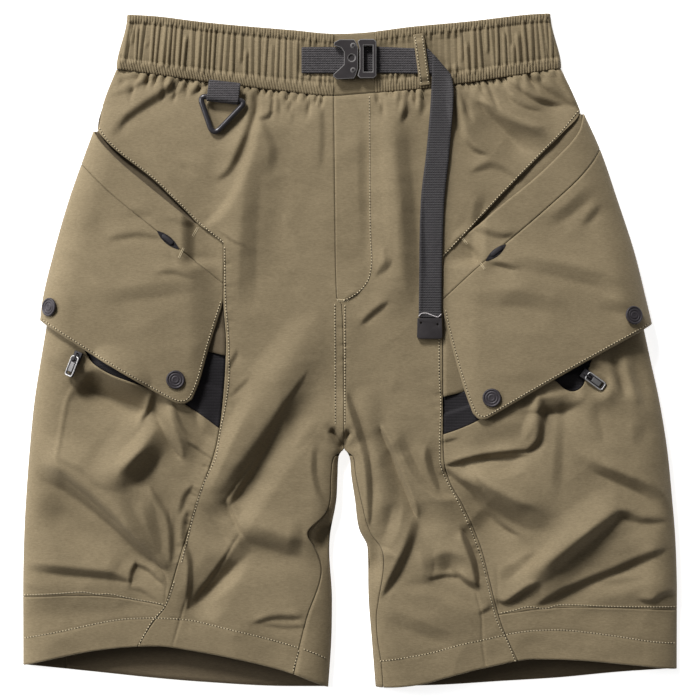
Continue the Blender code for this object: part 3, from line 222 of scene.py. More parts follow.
outline = {
    "left": {
        "sign": -1,
        "side": ((-187, 226), (-197, 200), (-202, 177), (-215, 136), (-229.5, 84), (-239, 40),
                 (-247.5, -8), (-252.5, -40), (-256.5, -80), (-259.5, -120), (-261, -150),
                 (-262, -200), (-262, -256)),
        "seam": ((-101, 84.5), (-101, 40), (-99, 5), (-101, -35), (-107, -78), (-121, -119),
                 (-134, -160), (-145.7, -199.8), (-147.2, -204.4), (-158, -219), (-170, -237)),
        "pocket": ((-202.5, 178), (-195.5, 167.5), (-184, 157), (-170, 146.6), (-157.4, 136.6),
                   (-142.8, 122.6), (-128.5, 108.2), (-122, 101.2), (-101, 84.5)),
        "inseam": ((-12.5, -85), (-15, -98), (-16, -120), (-20, -131), (-34, -147), (-28, -159),
                   (-23, -176), (-35, -216), (-45, -260), (-47, -275)),
        "inner": ((-5.9, -79), (-9.5, -85), (-10.5, -100), (-11.5, -120), (-16.5, -148),
                  (-17.2, -160), (-15, -200), (-15.5, -232), (-18, -270)),
        "zipTop": ((-256, 42), (-242, 37), (-228, 22), (-213, 10), (-167.5, 3.5), (-115, -1),
                   (-96, -5.5)),
        "cargoTop": ((-256, 27), (-246, 26), (-238, 21), (-228, 14.5), (-219, 8.5), (-212, 1),
                     (-207, -8), (-200, -14), (-190, -19.5), (-178, -24), (-168, -27.5),
                     (-160, -31), (-148, -35), (-140, -38.5), (-134, -41.5), (-130, -44.5),
                     (-118, -52.5), (-106, -61.5), (-96, -68)),
        "cargoFoot": ((-264, -198), (-215, -196), (-180, -198.5), (-148.5, -204.5), (-140, -206)),
        "saddleFold": ((-205.5, 175), (-215, 149), (-225, 120), (-236.5, 80), (-246, 40),
                       (-248, 24)),
        "mouth": ((-205.5, 175), (-199.5, 165.5), (-184, 149.4), (-157.4, 127.4), (-140, 113.4),
                  (-128.9, 104), (-123, 100.4), (-120, 101), (-101.2, 86)),
        "hiddenZip": ((-215, 149), (-207.5, 141), (-190, 123.5), (-151.5, 93), (-101.4, 53)),
        "flapFoot": ((-248, 24), (-199.5, -7), (-148, -37), (-137, -42.5), (-131, -42.5),
                     (-126, -39)),
        "flapSide": ((-101.4, 53), (-101.4, 38.5), (-107.5, 19.5), (-114, -2), (-120, -25),
                     (-126, -39)),
    },
    "right": {
        "sign": 1,
        "side": ((169, 226), (181, 200), (189, 177), (203, 136), (219, 84), (230, 40),
                 (240.5, -8), (247.5, -40), (254, -80), (258, -120), (260.5, -150), (262, -200),
                 (262, -256)),
        "seam": ((75, 74), (74, 40), (74, 0), (74.2, -50), (74.8, -85), (80, -106), (90, -124),
                 (104, -156), (111, -182), (116, -202), (122, -222), (134.5, -249.5)),
        "pocket": ((184.5, 191.5), (169.2, 172.6), (155, 158.4), (141.2, 144.4), (120, 122.4),
                   (107, 108.4), (92.5, 92.6), (75, 74)),
        "inseam": ((2.5, -85), (4.5, -98), (9, -120), (17, -147), (25, -158), (27, -170),
                   (23, -200), (21.2, -214), (22.2, -232), (25, -250), (27, -275)),
        "inner": ((-3.7, -79), (0, -85), (1.5, -100), (4.5, -120), (8, -144), (14.5, -158),
                  (15.5, -200), (18, -232), (21, -270)),
        "zipTop": ((70, -38.5), (90, -33.5), (120, -22), (180, -5), (202, 4), (216, 22),
                   (232, 37), (248, 42)),
        "cargoTop": ((70, -69), (90, -62), (106, -54), (116, -46), (126, -38), (140, -29),
                     (152, -23.5), (160, -23), (165, -26), (170, -30.5), (177, -33), (183, -31),
                     (187, -26), (190, -16), (194, -4), (204, 4), (214, 11), (232, 22), (248, 27)),
        "cargoFoot": ((110, -213), (125, -211), (150, -207.5), (180, -206), (216.5, -206.5),
                      (264, -208.5)),
        "saddleFold": ((187.5, 189), (200, 161), (214, 120), (227, 80), (237, 40), (241.5, 21)),
        "mouth": ((187.5, 189), (184.5, 175.5), (176.5, 164.6), (160.5, 148.6), (146.4, 135.4),
                  (120.8, 115), (104, 100.6), (94, 92.5), (90, 92.4), (75.2, 76)),
        "hiddenZip": ((200, 161), (194, 150), (180.5, 134), (144.5, 102), (104.5, 68.5),
                      (74.5, 40.5)),
        "flapFoot": ((241.5, 21), (168.5, -19.5), (116.5, -50), (108, -55), (102.5, -55),
                     (98, -50)),
        "flapSide": ((74.5, 40.5), (74.5, 32), (78.2, 15.5), (84.5, -8.5), (91, -31), (98, -50)),
    },
}
flyEdge = ((-13, 204.5), (-12, 120), (-10.5, 42), (-6.5, 36), (-5, -30), (-4.8, -79))
crotch = (-4.8, -79.0)
waistSeam = ((-190, 226.4), (-119.5, 216.5), (-55.5, 208.5), (-13, 204.5), (8.5, 206),
             (64.5, 211), (120.5, 219), (172, 227))
waistTop = ((-182, 269), (-155.5, 267.5), (-119.5, 263), (-83.5, 259.5), (-47.5, 256.5),
            (-12, 253.5), (12.5, 254.5), (48.5, 259), (96.5, 263.5), (144.5, 269), (164, 270))
frontHem = ((-262, -252.5), (-231.5, -245.5), (-199.5, -239.5), (-155.5, -236.5), (-127.5, -240),
            (-95.5, -246), (-67.5, -252.5), (-45, -259), (-18, -270), (22, -270), (56, -267.5),
            (84, -260), (108, -254), (148, -247), (176, -247.5), (224, -251.5), (262, -255.5))
backHem = ((-262, -252.5), (-203.5, -258.5), (-155.5, -263.5), (-119.5, -266.5), (-47.5, -270),
           (22, -270), (72, -269), (120, -266), (168, -263), (216, -258.5), (262, -255.5))

cloth = {"wall": 1.1, "flapWall": 1.4, "seamGap": 0.8, "seamUnder": 34.0, "sideRound": 26.0,
         "innerRound": 20.0, "underRound": 6.0, "puff": 5.0, "puffReach": 70.0,
         "saddleLift": 6.0, "saddleReach": 30.0, "underRaise": 2.0, "raiseReach": 22.0}


def smoothTable(points, by):
    # a smooth curve through a table, read by its x (by 0) or its y (by 1)
    rows = sorted(points, key=lambda p: p[by])
    at = np.array([p[by] for p in rows], float)
    value = np.array([p[1 - by] for p in rows], float)
    step = np.diff(at)
    slope = np.diff(value) / step
    tangent = np.concatenate([[slope[0]], (slope[:-1] + slope[1:]) / 2, [slope[-1]]])
    tangent[1:-1][slope[:-1] * slope[1:] <= 0] = 0
    for k, s in enumerate(slope):
        tangent[k] = np.clip(tangent[k], -3 * abs(s), 3 * abs(s))
        tangent[k + 1] = np.clip(tangent[k + 1], -3 * abs(s), 3 * abs(s))

    def read(t):
        t = np.clip(np.asarray(t, float), at[0], at[-1])
        k = np.clip(np.searchsorted(at, t) - 1, 0, len(step) - 1)
        u = (t - at[k]) / step[k]
        ends = value[k] * (1 + 2 * u) * (1 - u) ** 2 + value[k + 1] * u * u * (3 - 2 * u)
        return ends + step[k] * (tangent[k] * u * (1 - u) ** 2 - tangent[k + 1] * u * u * (1 - u))

    return read


def cutCorners(points, times=2):
    line = np.array(points, float)
    for _ in range(times):
        cut = np.stack([0.8 * line[:-1] + 0.2 * line[1:], 0.2 * line[:-1] + 0.8 * line[1:]], 1)
        line = np.concatenate([line[:1], cut.reshape(-1, line.shape[1])[1:-1], line[-1:]])
    return line


def evenPoints(points, count):
    line = cutCorners(points)
    along = np.concatenate([[0], np.cumsum(np.linalg.norm(np.diff(line, axis=0), axis=1))])
    at = np.linspace(0, along[-1], count)
    return np.stack([np.interp(at, along, line[:, k]) for k in range(line.shape[1])], 1)


def rounded(share):
    return np.sqrt(1 - (1 - np.clip(share, 0, 1)) ** 2)


def eased(share):
    share = np.clip(share, 0, 1)
    return share * share * (3 - 2 * share)


def spot(a, b):
    # a place on the drawing grid, in mm
    return (a - 350) * square, (349.5 - b) * square


waistY = smoothTable(waistSeam, 0)
waistTopY = smoothTable(waistTop, 0)
frontHemY = smoothTable(frontHem, 0)
backHemY = smoothTable(backHem, 0)
foldZ = smoothTable([(z, y) for y, z, _ in loft], 1)
topZ = smoothTable([(z, y) for y, _, z in loft], 1)


class Half:
    # one half of the shorts: the smooth reading of its lines
    def __init__(self, name):
        lines = outline[name]
        self.name = name
        self.sign = lines["sign"]
        self.lines = lines
        self.sideX = smoothTable(lines["side"], 1)
        self.seamX = smoothTable(lines["seam"], 1)
        self.innerX = smoothTable(lines["inner"], 1)
        self.saddleX = smoothTable(lines["saddleFold"], 1)
        self.saddleSpan = (lines["saddleFold"][-1][1], lines["saddleFold"][0][1])
        self.pocketY = smoothTable(lines["pocket"], 0)
        above = [p for p in lines["side"] if p[1] > lines["pocket"][0][1]]
        self.outerX = smoothTable(above + list(lines["pocket"]) + list(lines["seam"][1:]), 1)
        self.nearX = smoothTable(list(flyEdge) + list(lines["inseam"]), 1)
        self.zipY = smoothTable(lines["zipTop"], 0)
        self.cargoY = smoothTable(lines["cargoTop"], 0)
        self.cargoFootY = smoothTable(lines["cargoFoot"], 0)
        self.pocketTop = lines["pocket"][0][1]
        self.inseamTop = lines["inseam"][0][1]

    def sideGap(self, x, y):
        return self.sign * (self.sideX(y) - x)

    def innerGap(self, x, y):
        below = self.sign * (x - self.innerX(y))
        above = np.hypot(0.5 * (x - crotch[0]), y - crotch[1])
        share = eased((crotch[1] + 10 - y) / 20)
        return np.maximum(share * below + (1 - share) * above, 0.4)


left = Half("left")
right = Half("right")

# The largest folds in mm: start, middle, end, rise, reach to the left and right of that direction
broadFolds = (
    ((-18, 24), (-75, -46), (-118, -128), 5.0, 30, 24),
    ((-22, -30), (-70, -94), (-100, -140), -5.0, 20, 22),
    ((-90, -136), (-64, -148), (-38, -152), 4.0, 20, 20),
    ((-96, -166), (-112, -190), (-126, -212), -4.0, 22, 20),
    ((-72, 196), (-84, 140), (-88, 40), 4.0, 34, 28),
    ((-150, -56), (-176, -84), (-190, -112), 4.5, 22, 24),
    ((-246, -92), (-204, -102), (-150, -166), 5.0, 26, 24),
    ((-250, -122), (-205, -152), (-156, -176), -4.0, 24, 22),
    ((6, -30), (20, -84), (26, -150), 4.0, 16, 20),
    ((32, -76), (48, -104), (60, -150), -4.0, 20, 20),
    ((30, 196), (32, 120), (36, 20), 4.0, 26, 22),
    ((90, -96), (124, -116), (160, -150), 4.5, 24, 22),
    ((100, -132), (120, -152), (142, -176), -4.0, 20, 20),
    ((140, -192), (180, -152), (222, -126), 5.0, 26, 24),
    ((160, -200), (204, -180), (246, -166), -3.5, 22, 20),
    ((96, -82), (126, -74), (156, -78), -3.5, 18, 18),
)

# Slopes that face away from the waist side, each a path on the drawing grid, its width at both ends
# in squares and its steepness. A negative steepness faces the waist.
frontSlopes = (
    # left leg, waist to pocket
    (((174, 83), (158, 95), (140, 106), (124, 118), (113, 134)), (8, 5), 0.75),
    (((158, 72), (140, 82), (125, 90), (112, 94)), (5, 3), 0.6),
    (((146, 69), (132, 74), (120, 79)), (4, 3), 0.7),
    (((182, 74), (172, 82), (164, 90)), (4, 3), 0.8),
    (((192, 76), (182, 88), (170, 97)), (3, 4), 0.5),
    (((210, 78), (201, 84), (191, 92)), (4, 3), 1.0),
    (((251, 90), (253, 105), (249, 121), (243, 140), (237, 155), (229, 171), (219, 178)), (7, 4),
     1.0),
    (((257, 98), (256, 122), (250, 150), (244, 166), (236, 190), (222, 212), (204, 226)), (8, 8),
     -0.5),
    (((256, 160), (251, 200), (248, 240), (247, 280), (245, 316)), (14, 18), 0.24),
    (((259, 118), (267, 116), (272, 109)), (3, 3), 1.0),
    (((262, 120), (268, 135), (274, 152), (269, 172)), (6, 9), 0.3),
    (((290, 94), (292, 122)), (5, 4), 0.3),
    (((320, 98), (322, 130), (320, 165)), (5, 5), 0.3),
    (((276, 90), (278, 113)), (4, 3), 0.6),
    (((222, 232), (232, 240), (242, 244)), (3, 3), 0.6),
    (((140, 152), (158, 172), (172, 190)), (10, 8), 0.25),
    (((186, 163), (194, 170)), (7, 5), 0.3),
    # left leg, middle
    (((330, 372), (306, 420), (284, 470), (268, 520)), (30, 60), 0.12),
    (((306, 372), (288, 400), (268, 432), (246, 466), (222, 500)), (4, 20), 0.36),
    (((279, 418), (263, 447), (248, 476), (231, 502)), (4, 7), 0.5),
    (((252, 392), (232, 425), (214, 470), (203, 496)), (14, 10), -0.35),
    (((227, 501), (234, 515), (243, 533)), (5, 3), 1.0),
    (((240, 522), (256, 534), (282, 542), (314, 550)), (18, 20), 0.42),
    (((206, 502), (222, 520), (232, 540), (238, 556)), (10, 12), 0.4),
    (((250, 540), (232, 558), (212, 580), (188, 606)), (20, 8), 0.6),
    (((246, 560), (228, 582), (204, 602)), (12, 12), -0.45),
    (((314, 448), (313, 470), (317, 490), (328, 507)), (6, 5), 0.5),
    (((255, 621), (275, 615), (300, 616)), (4, 6), 0.7),
    (((262, 623), (285, 626), (304, 625)), (3, 4), 0.5),
    (((316, 424), (298, 446)), (8, 8), 0.22),
    (((192, 485), (184, 495), (180, 510)), (4, 5), 0.6),
    (((185, 545), (190, 560), (190, 582), (187, 604)), (5, 4), 1.0),
    (((186, 512), (183, 530), (184, 548)), (5, 6), 0.6),
    (((236, 352), (228, 368)), (5, 4), 0.5),
    (((248, 378), (232, 394)), (5, 4), 0.4),
    # left pocket
    (((80, 364), (104, 380), (128, 393), (150, 402)), (30, 20), 1.7),
    (((153, 394), (150, 405), (142, 419)), (4, 4), 1.1),
    (((161, 398), (165, 418), (173, 438), (181, 455)), (16, 8), 1.2),
    (((156, 418), (141, 440), (118, 463)), (12, 14), -0.55),
    (((160, 446), (142, 462), (122, 482)), (20, 18), 0.8),
    (((174, 405), (181, 425), (190, 438), (214, 457)), (3, 3), -0.8),
    (((190, 441), (202, 449), (214, 458)), (3, 3), 1.1),
    (((198, 412), (202, 426), (210, 434)), (6, 6), 0.6),
    (((30, 470), (58, 473), (88, 496), (117, 521), (141, 546), (165, 567)), (22, 8), 1.0),
    (((62, 458), (84, 468), (112, 492)), (6, 6), 0.35),
    (((120, 494), (138, 526), (158, 552)), (12, 10), -0.4),
    (((151, 488), (160, 502), (168, 515), (171, 532), (171, 560)), (4, 4), 1.1),
    (((147, 496), (152, 520), (160, 548)), (12, 8), 0.4),
    (((23, 565), (50, 567), (80, 570), (110, 573), (128, 579)), (9, 8), 0.8),
    (((135, 563), (131, 572), (130, 583)), (4, 3), 1.0),
    (((137, 563), (150, 569), (161, 581)), (5, 4), 1.0),
    (((130, 586), (145, 590), (158, 601)), (4, 4), 0.5),
    (((45, 348), (58, 362), (70, 372)), (10, 8), 0.4),
    (((118, 556), (112, 570)), (10, 12), 0.3),
    (((100, 372), (92, 384), (78, 392)), (14, 12), 0.5),
    (((24, 584), (40, 588)), (3, 3), 0.4),
    # right leg, waist to pocket
    (((402, 92), (406, 106), (401, 120)), (5, 4), 1.4),
    (((404, 112), (401, 150), (406, 190), (410, 240), (412, 306)), (14, 14), 0.3),
    (((386, 100), (385, 160), (391, 230), (396, 300)), (14, 12), -0.22),
    (((424, 88), (420, 112)), (6, 6), 0.98),
    (((362, 108), (362, 180), (364, 250)), (9, 9), 0.2),
    (((385, 250), (389, 262), (378, 273)), (8, 7), 0.56),
    (((345, 300), (358, 292)), (4, 4), 0.56),
    (((362, 322), (374, 311), (386, 302)), (5, 6), 0.7),
    (((455, 98), (459, 120), (464, 138), (473, 148), (485, 153)), (6, 5), 1.12),
    (((465, 84), (464, 112)), (5, 4), 0.56),
    (((478, 84), (482, 96)), (4, 3), 0.7),
    (((478, 100), (500, 116), (522, 132), (540, 146)), (6, 26), 1.3),
    (((485, 96), (500, 110), (520, 119), (542, 124)), (8, 8), -0.56),
    (((500, 84), (508, 95), (522, 104), (538, 109)), (5, 4), 0.84),
    (((508, 78), (520, 89), (540, 99), (562, 103)), (5, 5), 1.12),
    (((530, 71), (544, 84), (564, 97), (577, 104)), (5, 7), 1.68),
    (((546, 67), (560, 78), (573, 95)), (6, 8), 1.4),
    (((475, 169), (490, 163), (505, 168), (518, 178)), (8, 6), 0.49),
    (((480, 196), (474, 222)), (10, 8), 0.42),
    (((455, 240), (468, 232)), (4, 4), 0.56),
    # right leg, middle
    (((347, 396), (357, 425), (365, 452), (369, 482), (369, 522)), (8, 6), 1.08),
    (((381, 428), (388, 441), (398, 466), (408, 491), (416, 514)), (5, 5), 1.76),
    (((397, 432), (412, 467), (426, 486), (440, 495), (452, 497)), (10, 8), -0.74),
    (((426, 450), (430, 470), (438, 488)), (8, 5), 0.68),
    (((417, 514), (410, 540), (398, 566), (384, 592)), (9, 8), 0.94),
    (((398, 502), (393, 528), (383, 548)), (12, 10), -0.54),
    (((425, 548), (430, 575)), (16, 8), 0.47),
    (((432, 566), (448, 558), (464, 566)), (18, 18), 0.74),
    (((430, 577), (446, 574), (458, 575)), (4, 4), 0.81),
    (((461, 531), (467, 545), (473, 560), (477, 582)), (6, 6), 1.62),
    (((457, 572), (466, 580), (476, 585)), (5, 5), 1.35),
    (((384, 612), (420, 626), (455, 640)), (14, 12), 0.3),
    (((400, 588), (430, 588), (460, 602), (480, 620)), (10, 10), -0.34),
    (((480, 612), (490, 606)), (4, 4), 0.68),
    (((378, 545), (392, 552)), (4, 4), -0.81),
    # right pocket
    (((520, 405), (548, 404), (580, 398)), (16, 16), 1.23),
    (((600, 352), (610, 374), (614, 400)), (18, 16), 1.12),
    (((537, 394), (541, 416), (538, 440), (528, 448)), (9, 6), 1.23),
    (((522, 436), (530, 414), (535, 396)), (8, 6), -0.45),
    (((448, 464), (478, 456), (505, 453), (532, 451)), (4, 9), 1.68),
    (((470, 468), (500, 474), (530, 462)), (8, 10), -0.34),
    (((444, 466), (458, 478), (475, 488), (487, 508), (500, 522), (516, 533)), (6, 5), 1.23),
    (((464, 472), (486, 492), (512, 508), (540, 522)), (10, 28), 1.25),
    (((640, 510), (618, 512), (598, 527), (574, 547), (553, 564), (534, 584)), (10, 16), 0.95),
    (((536, 582), (520, 592), (506, 602), (499, 599)), (7, 4), 1.23),
    (((662, 548), (640, 557), (612, 570), (588, 579), (560, 591), (540, 602)), (8, 8), 0.78),
    (((574, 451), (592, 465), (615, 475), (640, 485), (656, 497), (670, 516)), (9, 14), 0.95),
    (((620, 510), (638, 519), (664, 519)), (8, 6), 0.67),
    (((560, 404), (558, 440), (554, 500)), (8, 10), 0.31),
    (((590, 402), (592, 420), (600, 437)), (14, 6), 0.39),
    (((636, 420), (637, 444)), (14, 10), 0.39),
    (((600, 364), (612, 374), (622, 394)), (5, 5), -0.78),
    (((626, 352), (632, 376), (640, 402)), (10, 8), 0.9),
    (((677, 591), (662, 592), (652, 600), (640, 598)), (4, 4), 1.01),
    (((604, 582), (640, 577)), (6, 6), 0.34),
    (((500, 576), (515, 567), (530, 554)), (12, 8), 0.56),
    (((556, 540), (540, 556), (520, 574)), (10, 10), -0.39),
    (((444, 440), (456, 437)), (4, 3), 0.56),
)

flapSlopes = (
    (((60, 250), (80, 256), (102, 281)), (9, 9), 0.36),
    (((112, 238), (140, 233), (162, 238)), (6, 5), 0.51),
    (((48, 273), (62, 290)), (9, 9), 0.36),
    (((100, 297), (150, 291), (205, 284)), (14, 14), 0.23),
    (((160, 272), (176, 271), (192, 277)), (4, 4), 0.58),
    (((172, 254), (178, 262)), (4, 3), 0.58),
    (((170, 218), (186, 224), (194, 222)), (5, 5), 0.36),
    (((130, 212), (150, 214)), (8, 8), 0.26),
    (((546, 223), (566, 211), (592, 188)), (12, 12), 0.4),
    (((492, 262), (504, 264), (514, 268)), (4, 3), 1.3),
    (((464, 242), (476, 250), (480, 264)), (4, 3), 1.08),
    (((512, 260), (560, 270), (600, 280), (626, 292)), (14, 16), 0.43),
    (((476, 228), (500, 236), (512, 234)), (6, 5), 0.65),
    (((596, 208), (584, 222)), (8, 8), 0.54),
    (((600, 300), (630, 312)), (12, 12), 0.43),
    (((470, 300), (520, 296), (570, 312)), (16, 16), 0.26),
)

# Low ridges and grooves: path, width and rise in mm, and how pointed each is from 0 to 1
frontRidges = (
    (((84, 378), (112, 395), (146, 410)), 26, -6.5, 0.6),
    (((516, 398), (546, 394), (580, 386)), 14, -5.0, 0.1),
    (((464, 466), (478, 480), (487, 499), (497, 515), (503, 524)), 3.2, -1.8, 0.9),
    (((445, 465), (470, 457), (500, 452), (534, 450)), 3.2, -1.6, 0.9),
    (((300, 384), (284, 408), (262, 444), (244, 472), (224, 502)), 3.0, -1.0, 0.9),
    (((240, 533), (222, 562), (196, 600)), 3.0, -1.2, 0.9),
    (((150, 556), (163, 568), (168, 580)), 2.6, -1.2, 0.9),
    (((60, 472), (90, 496), (120, 522), (150, 552)), 3.0, -0.8, 0.9),
    (((331, 428), (338, 438), (344, 447)), 7, -6.5, 0.6),
    (((350, 430), (345, 440), (341, 449)), 6, -5.0, 0.6),
    (((23, 638), (60, 631), (100, 622), (125, 618), (155, 617), (190, 619), (230, 629), (260, 636),
      (299, 647)), 1.6, -0.6, 0.9),
    (((379, 661), (400, 658), (430, 653), (460, 644), (480, 640), (510, 633), (530, 630),
      (560, 629), (590, 632), (620, 636), (650, 641), (676, 643)), 1.6, -0.6, 0.9),
    (((76, 384), (67, 400), (62, 430), (58, 460)), 4, 0.9, 0.6),
    (((172, 512), (173, 562)), 3, 0.8, 0.8),
    (((190, 568), (188, 593), (183, 609), (173, 645)), 2.2, -0.8, 1.0),
    (((475, 588), (482, 615), (482, 640), (486, 668)), 2.2, -0.8, 1.0),
    (((167, 583), (165, 604)), 2.0, -0.6, 1.0),
    (((497, 563), (498, 612)), 2.0, -0.7, 1.0),
    (((22, 597), (60, 595), (85, 593), (97, 596), (110, 595), (130, 600), (165, 606)), 2.0, 0.4,
     1.0),
    (((499, 615), (515, 612), (528, 608), (545, 611), (560, 606), (600, 608), (677, 609)), 2.0, 0.4,
     1.0),
)


def drawingGrid():
    return np.zeros((sheetSize, sheetSize))


def nearPath(line, reach):
    # the squares near a path, each with its nearest point on it
    low = np.maximum(np.floor(line.min(0) - reach).astype(int), 0)
    high = np.minimum(np.ceil(line.max(0) + reach).astype(int) + 1, sheetSize)
    a, b = np.meshgrid(np.arange(low[0], high[0]), np.arange(low[1], high[1]))
    off = np.stack([a, b], -1)[..., None, :] - line
    nearest = np.argmin((off**2).sum(-1), -1)
    off = np.take_along_axis(off, nearest[..., None, None], -2)[..., 0, :]
    return (slice(low[1], high[1]), slice(low[0], high[0])), off, nearest


def besidePath(line, ahead, reach):
    # for the squares near a path: the distance off it, the share along it, its direction, the
    # offset
    window, off, nearest = nearPath(line, reach)
    way = ahead[nearest]
    step = np.linalg.norm(line[1] - line[0])
    along = np.clip((off * way).sum(-1), -step / 2, step / 2)
    away = np.linalg.norm(off - along[..., None] * way, axis=-1)
    return window, away, np.clip((nearest + along / step) / (len(line) - 1), 0, 1), way, off


slopes = {"strength": 1.3, "most": 1.5, "reach": 28.0}


def unit(vectors):
    return vectors / np.maximum(np.linalg.norm(vectors, axis=-1, keepdims=True), 1e-9)


def alongPath(path, step=2.0):
    rough = cutCorners(path)
    length = np.linalg.norm(np.diff(rough, axis=0), axis=1).sum()
    line = evenPoints(path, max(int(length / step), 4) + 1)
    ahead = np.gradient(line, axis=0)
    return line, ahead / np.linalg.norm(ahead, axis=1)[:, None]


def drawSlope(slant, path, wide, steep):
    # a band of even slope that ends in points; slant holds the rise per square, across and down
    line, ahead = alongPath(path)
    chord = line[-1] - line[0]
    facing = np.sign(chord[1] * 0.35 - chord[0]) or 1.0
    window, away, share, way = besidePath(line, ahead, 1.2 * max(wide))[:4]
    half = 0.5 * (wide[0] + (wide[1] - wide[0]) * share)
    half = half * (0.25 + 0.75 * rounded(4 * share) * rounded(4 * (1 - share)))
    soft = [0.15 if w > 8 else 1.0 for w in wide]
    fade = eased(2.4 * share + soft[0]) * eased(2.4 * (1 - share) + soft[1])
    level = steep * square * fade / (1 + (away / half) ** 10) * facing
    slant[(0, *window)] -= level * way[..., 1]
    slant[(1, *window)] += level * way[..., 0]


def raisedFrom(slant):
    # the surface whose slopes come nearest to the ones drawn, level again some way from them
    steepness = np.hypot(slant[0], slant[1])
    slant = slant * slopes["strength"] / np.maximum(1, steepness / (slopes["most"] * square))
    pad = ((0, 60), (0, 60))
    across, down = np.pad(slant[0], pad), np.pad(slant[1], pad)
    change = across - np.roll(across, 1, 1) + down - np.roll(down, 1, 0)
    turnsDown = 2 * np.cos(2 * np.pi * np.fft.fftfreq(change.shape[0]))[:, None]
    turnsAcross = 2 * np.cos(2 * np.pi * np.fft.rfftfreq(change.shape[1]))[None, :]
    spread = turnsDown + turnsAcross - 4 - 1 / slopes["reach"] ** 2
    return np.fft.irfft2(np.fft.rfft2(change) / spread, s=change.shape)[:sheetSize, :sheetSize]


def drawRidge(grid, path, width, rise, pointed, taper=6):
    line, ahead = alongPath(path)
    window, away, share = besidePath(line, ahead, width)[:3]
    ends = eased(taper * share + 0.3) * eased(taper * (1 - share) + 0.3)
    near = np.clip(1 - away / width, 0, 1)
    grid[window] += rise * ends * (pointed * near**1.6 + (1 - pointed) * eased(near))


def drawBroad(grid):
    for start, middle, end, rise, reachLeft, reachRight in broadFolds:
        t = np.linspace(0, 1, 80)[:, None]
        control = 2 * np.array(middle) - (np.array(start) + np.array(end)) / 2
        path = (1 - t) ** 2 * start + 2 * t * (1 - t) * control + t * t * np.array(end)
        line = np.stack([path[:, 0] / square + 350, 349.5 - path[:, 1] / square], 1)
        ahead = unit(np.gradient(line, axis=0))
        reach = max(reachLeft, reachRight) / square
        window, away, share, way, off = besidePath(line, ahead, reach)
        aside = way[..., 0] * off[..., 1] - way[..., 1] * off[..., 0]
        reach = np.where(aside < 0, reachLeft, reachRight) / square
        ends = eased(3.5 * share + 0.2) * eased(3.5 * (1 - share) + 0.2)
        grid[window] += rise * eased(1 - away / reach) * ends


def softNoise(size, amount, stretch=1.0):
    # an uneven surface whose bumps are about as wide as the size given, in squares
    waves = np.fft.rfft2(rng.standard_normal((sheetSize, sheetSize)))
    fy = np.fft.fftfreq(sheetSize)[:, None] * size / stretch
    fx = np.fft.rfftfreq(sheetSize)[None, :] * size * stretch
    field = np.fft.irfft2(waves * np.exp(-3 * (fx**2 + fy**2)), s=(sheetSize, sheetSize))
    return amount * field / field.std()


def drawGathers(grid, start, end, pitch, depth, length, slant):
    # short uneven creases that hang from the waistband
    a = start
    while a < end:
        x = (a - 350) * square
        b = 349.5 - float(waistY(x)) / square
        down = rng.uniform(*length)
        path = ((a, b - 2), (a + slant * down * 0.5, b + down * 0.5), (a + slant * down, b + down))
        drawRidge(grid, path, rng.uniform(2.4, 4.0), -rng.uniform(*depth), 0.7, 2.2)
        a += rng.uniform(*pitch)


def drawPuckers(grid, path, pitch, length, depth):
    # short creases across a sewn seam
    line, ahead = alongPath(path, 1.0)
    k = 2
    while k < len(line) - 2:
        side = np.array([-ahead[k][1], ahead[k][0]]) * rng.uniform(*length)
        lean = ahead[k] * rng.uniform(-2, 2)
        near, far = line[k] - 0.2 * side, line[k] + side + lean
        drawRidge(grid, (near, (near + far) / 2, far), rng.uniform(2.0, 3.4),
                  rng.uniform(-depth, 0.6 * depth), 0.5, 2.5)
        k += int(rng.uniform(*pitch))


def slopedGrid(table):
    slant = np.zeros((2, sheetSize, sheetSize))
    for path, wide, steep in table:
        drawSlope(slant, path, wide, steep)
    return raisedFrom(slant)


# Places where hard pieces lie on the cloth, which stays low under them: square, square, reach
calmSpots = ((222, 112, 38), (80, 362, 22), (594, 378, 24), (429, 328, 22), (424, 300, 14))


def calmed(grid):
    a, b = np.meshgrid(np.arange(sheetSize), np.arange(sheetSize))
    for x, y, reach in calmSpots:
        near = eased(1.6 * (1 - np.hypot(a - x, b - y) / reach))
        grid = grid - near * np.maximum(grid - 0.2, 0)
    return grid


# Creases that hang from the waistband: start and end in squares, pitch, depth, length, lean
hangingCreases = (
    (120, 330, (5, 11), (3.0, 6.0), (5, 13), -0.3),
    (124, 326, (10, 22), (1.4, 3.0), (16, 44), -0.2),
    (378, 424, (5, 10), (3.0, 5.5), (5, 16), 0.0),
    (382, 420, (9, 18), (1.2, 2.4), (16, 34), 0.05),
    (454, 560, (5, 11), (3.0, 6.0), (5, 13), 0.3),
    (458, 552, (10, 20), (1.4, 3.0), (16, 40), 0.35),
)

# Puckers across the seams: path, pitch, length to the left of the path, depth
seamPuckers = (
    (((346, 318), (346, 400)), (6, 11), (4, 14), 0.9),
    (((223, 250), (226, 340), (227, 395), (218, 440)), (8, 14), (-12, -4), 0.9),
    (((214, 459), (196, 500), (184, 545), (180, 566)), (6, 10), (4, 9), 1.3),
    (((442, 340), (442, 463)), (9, 15), (4, 10), 0.9),
    (((444, 466), (463, 505), (480, 545), (489, 580)), (6, 11), (4, 8), 1.1),
)

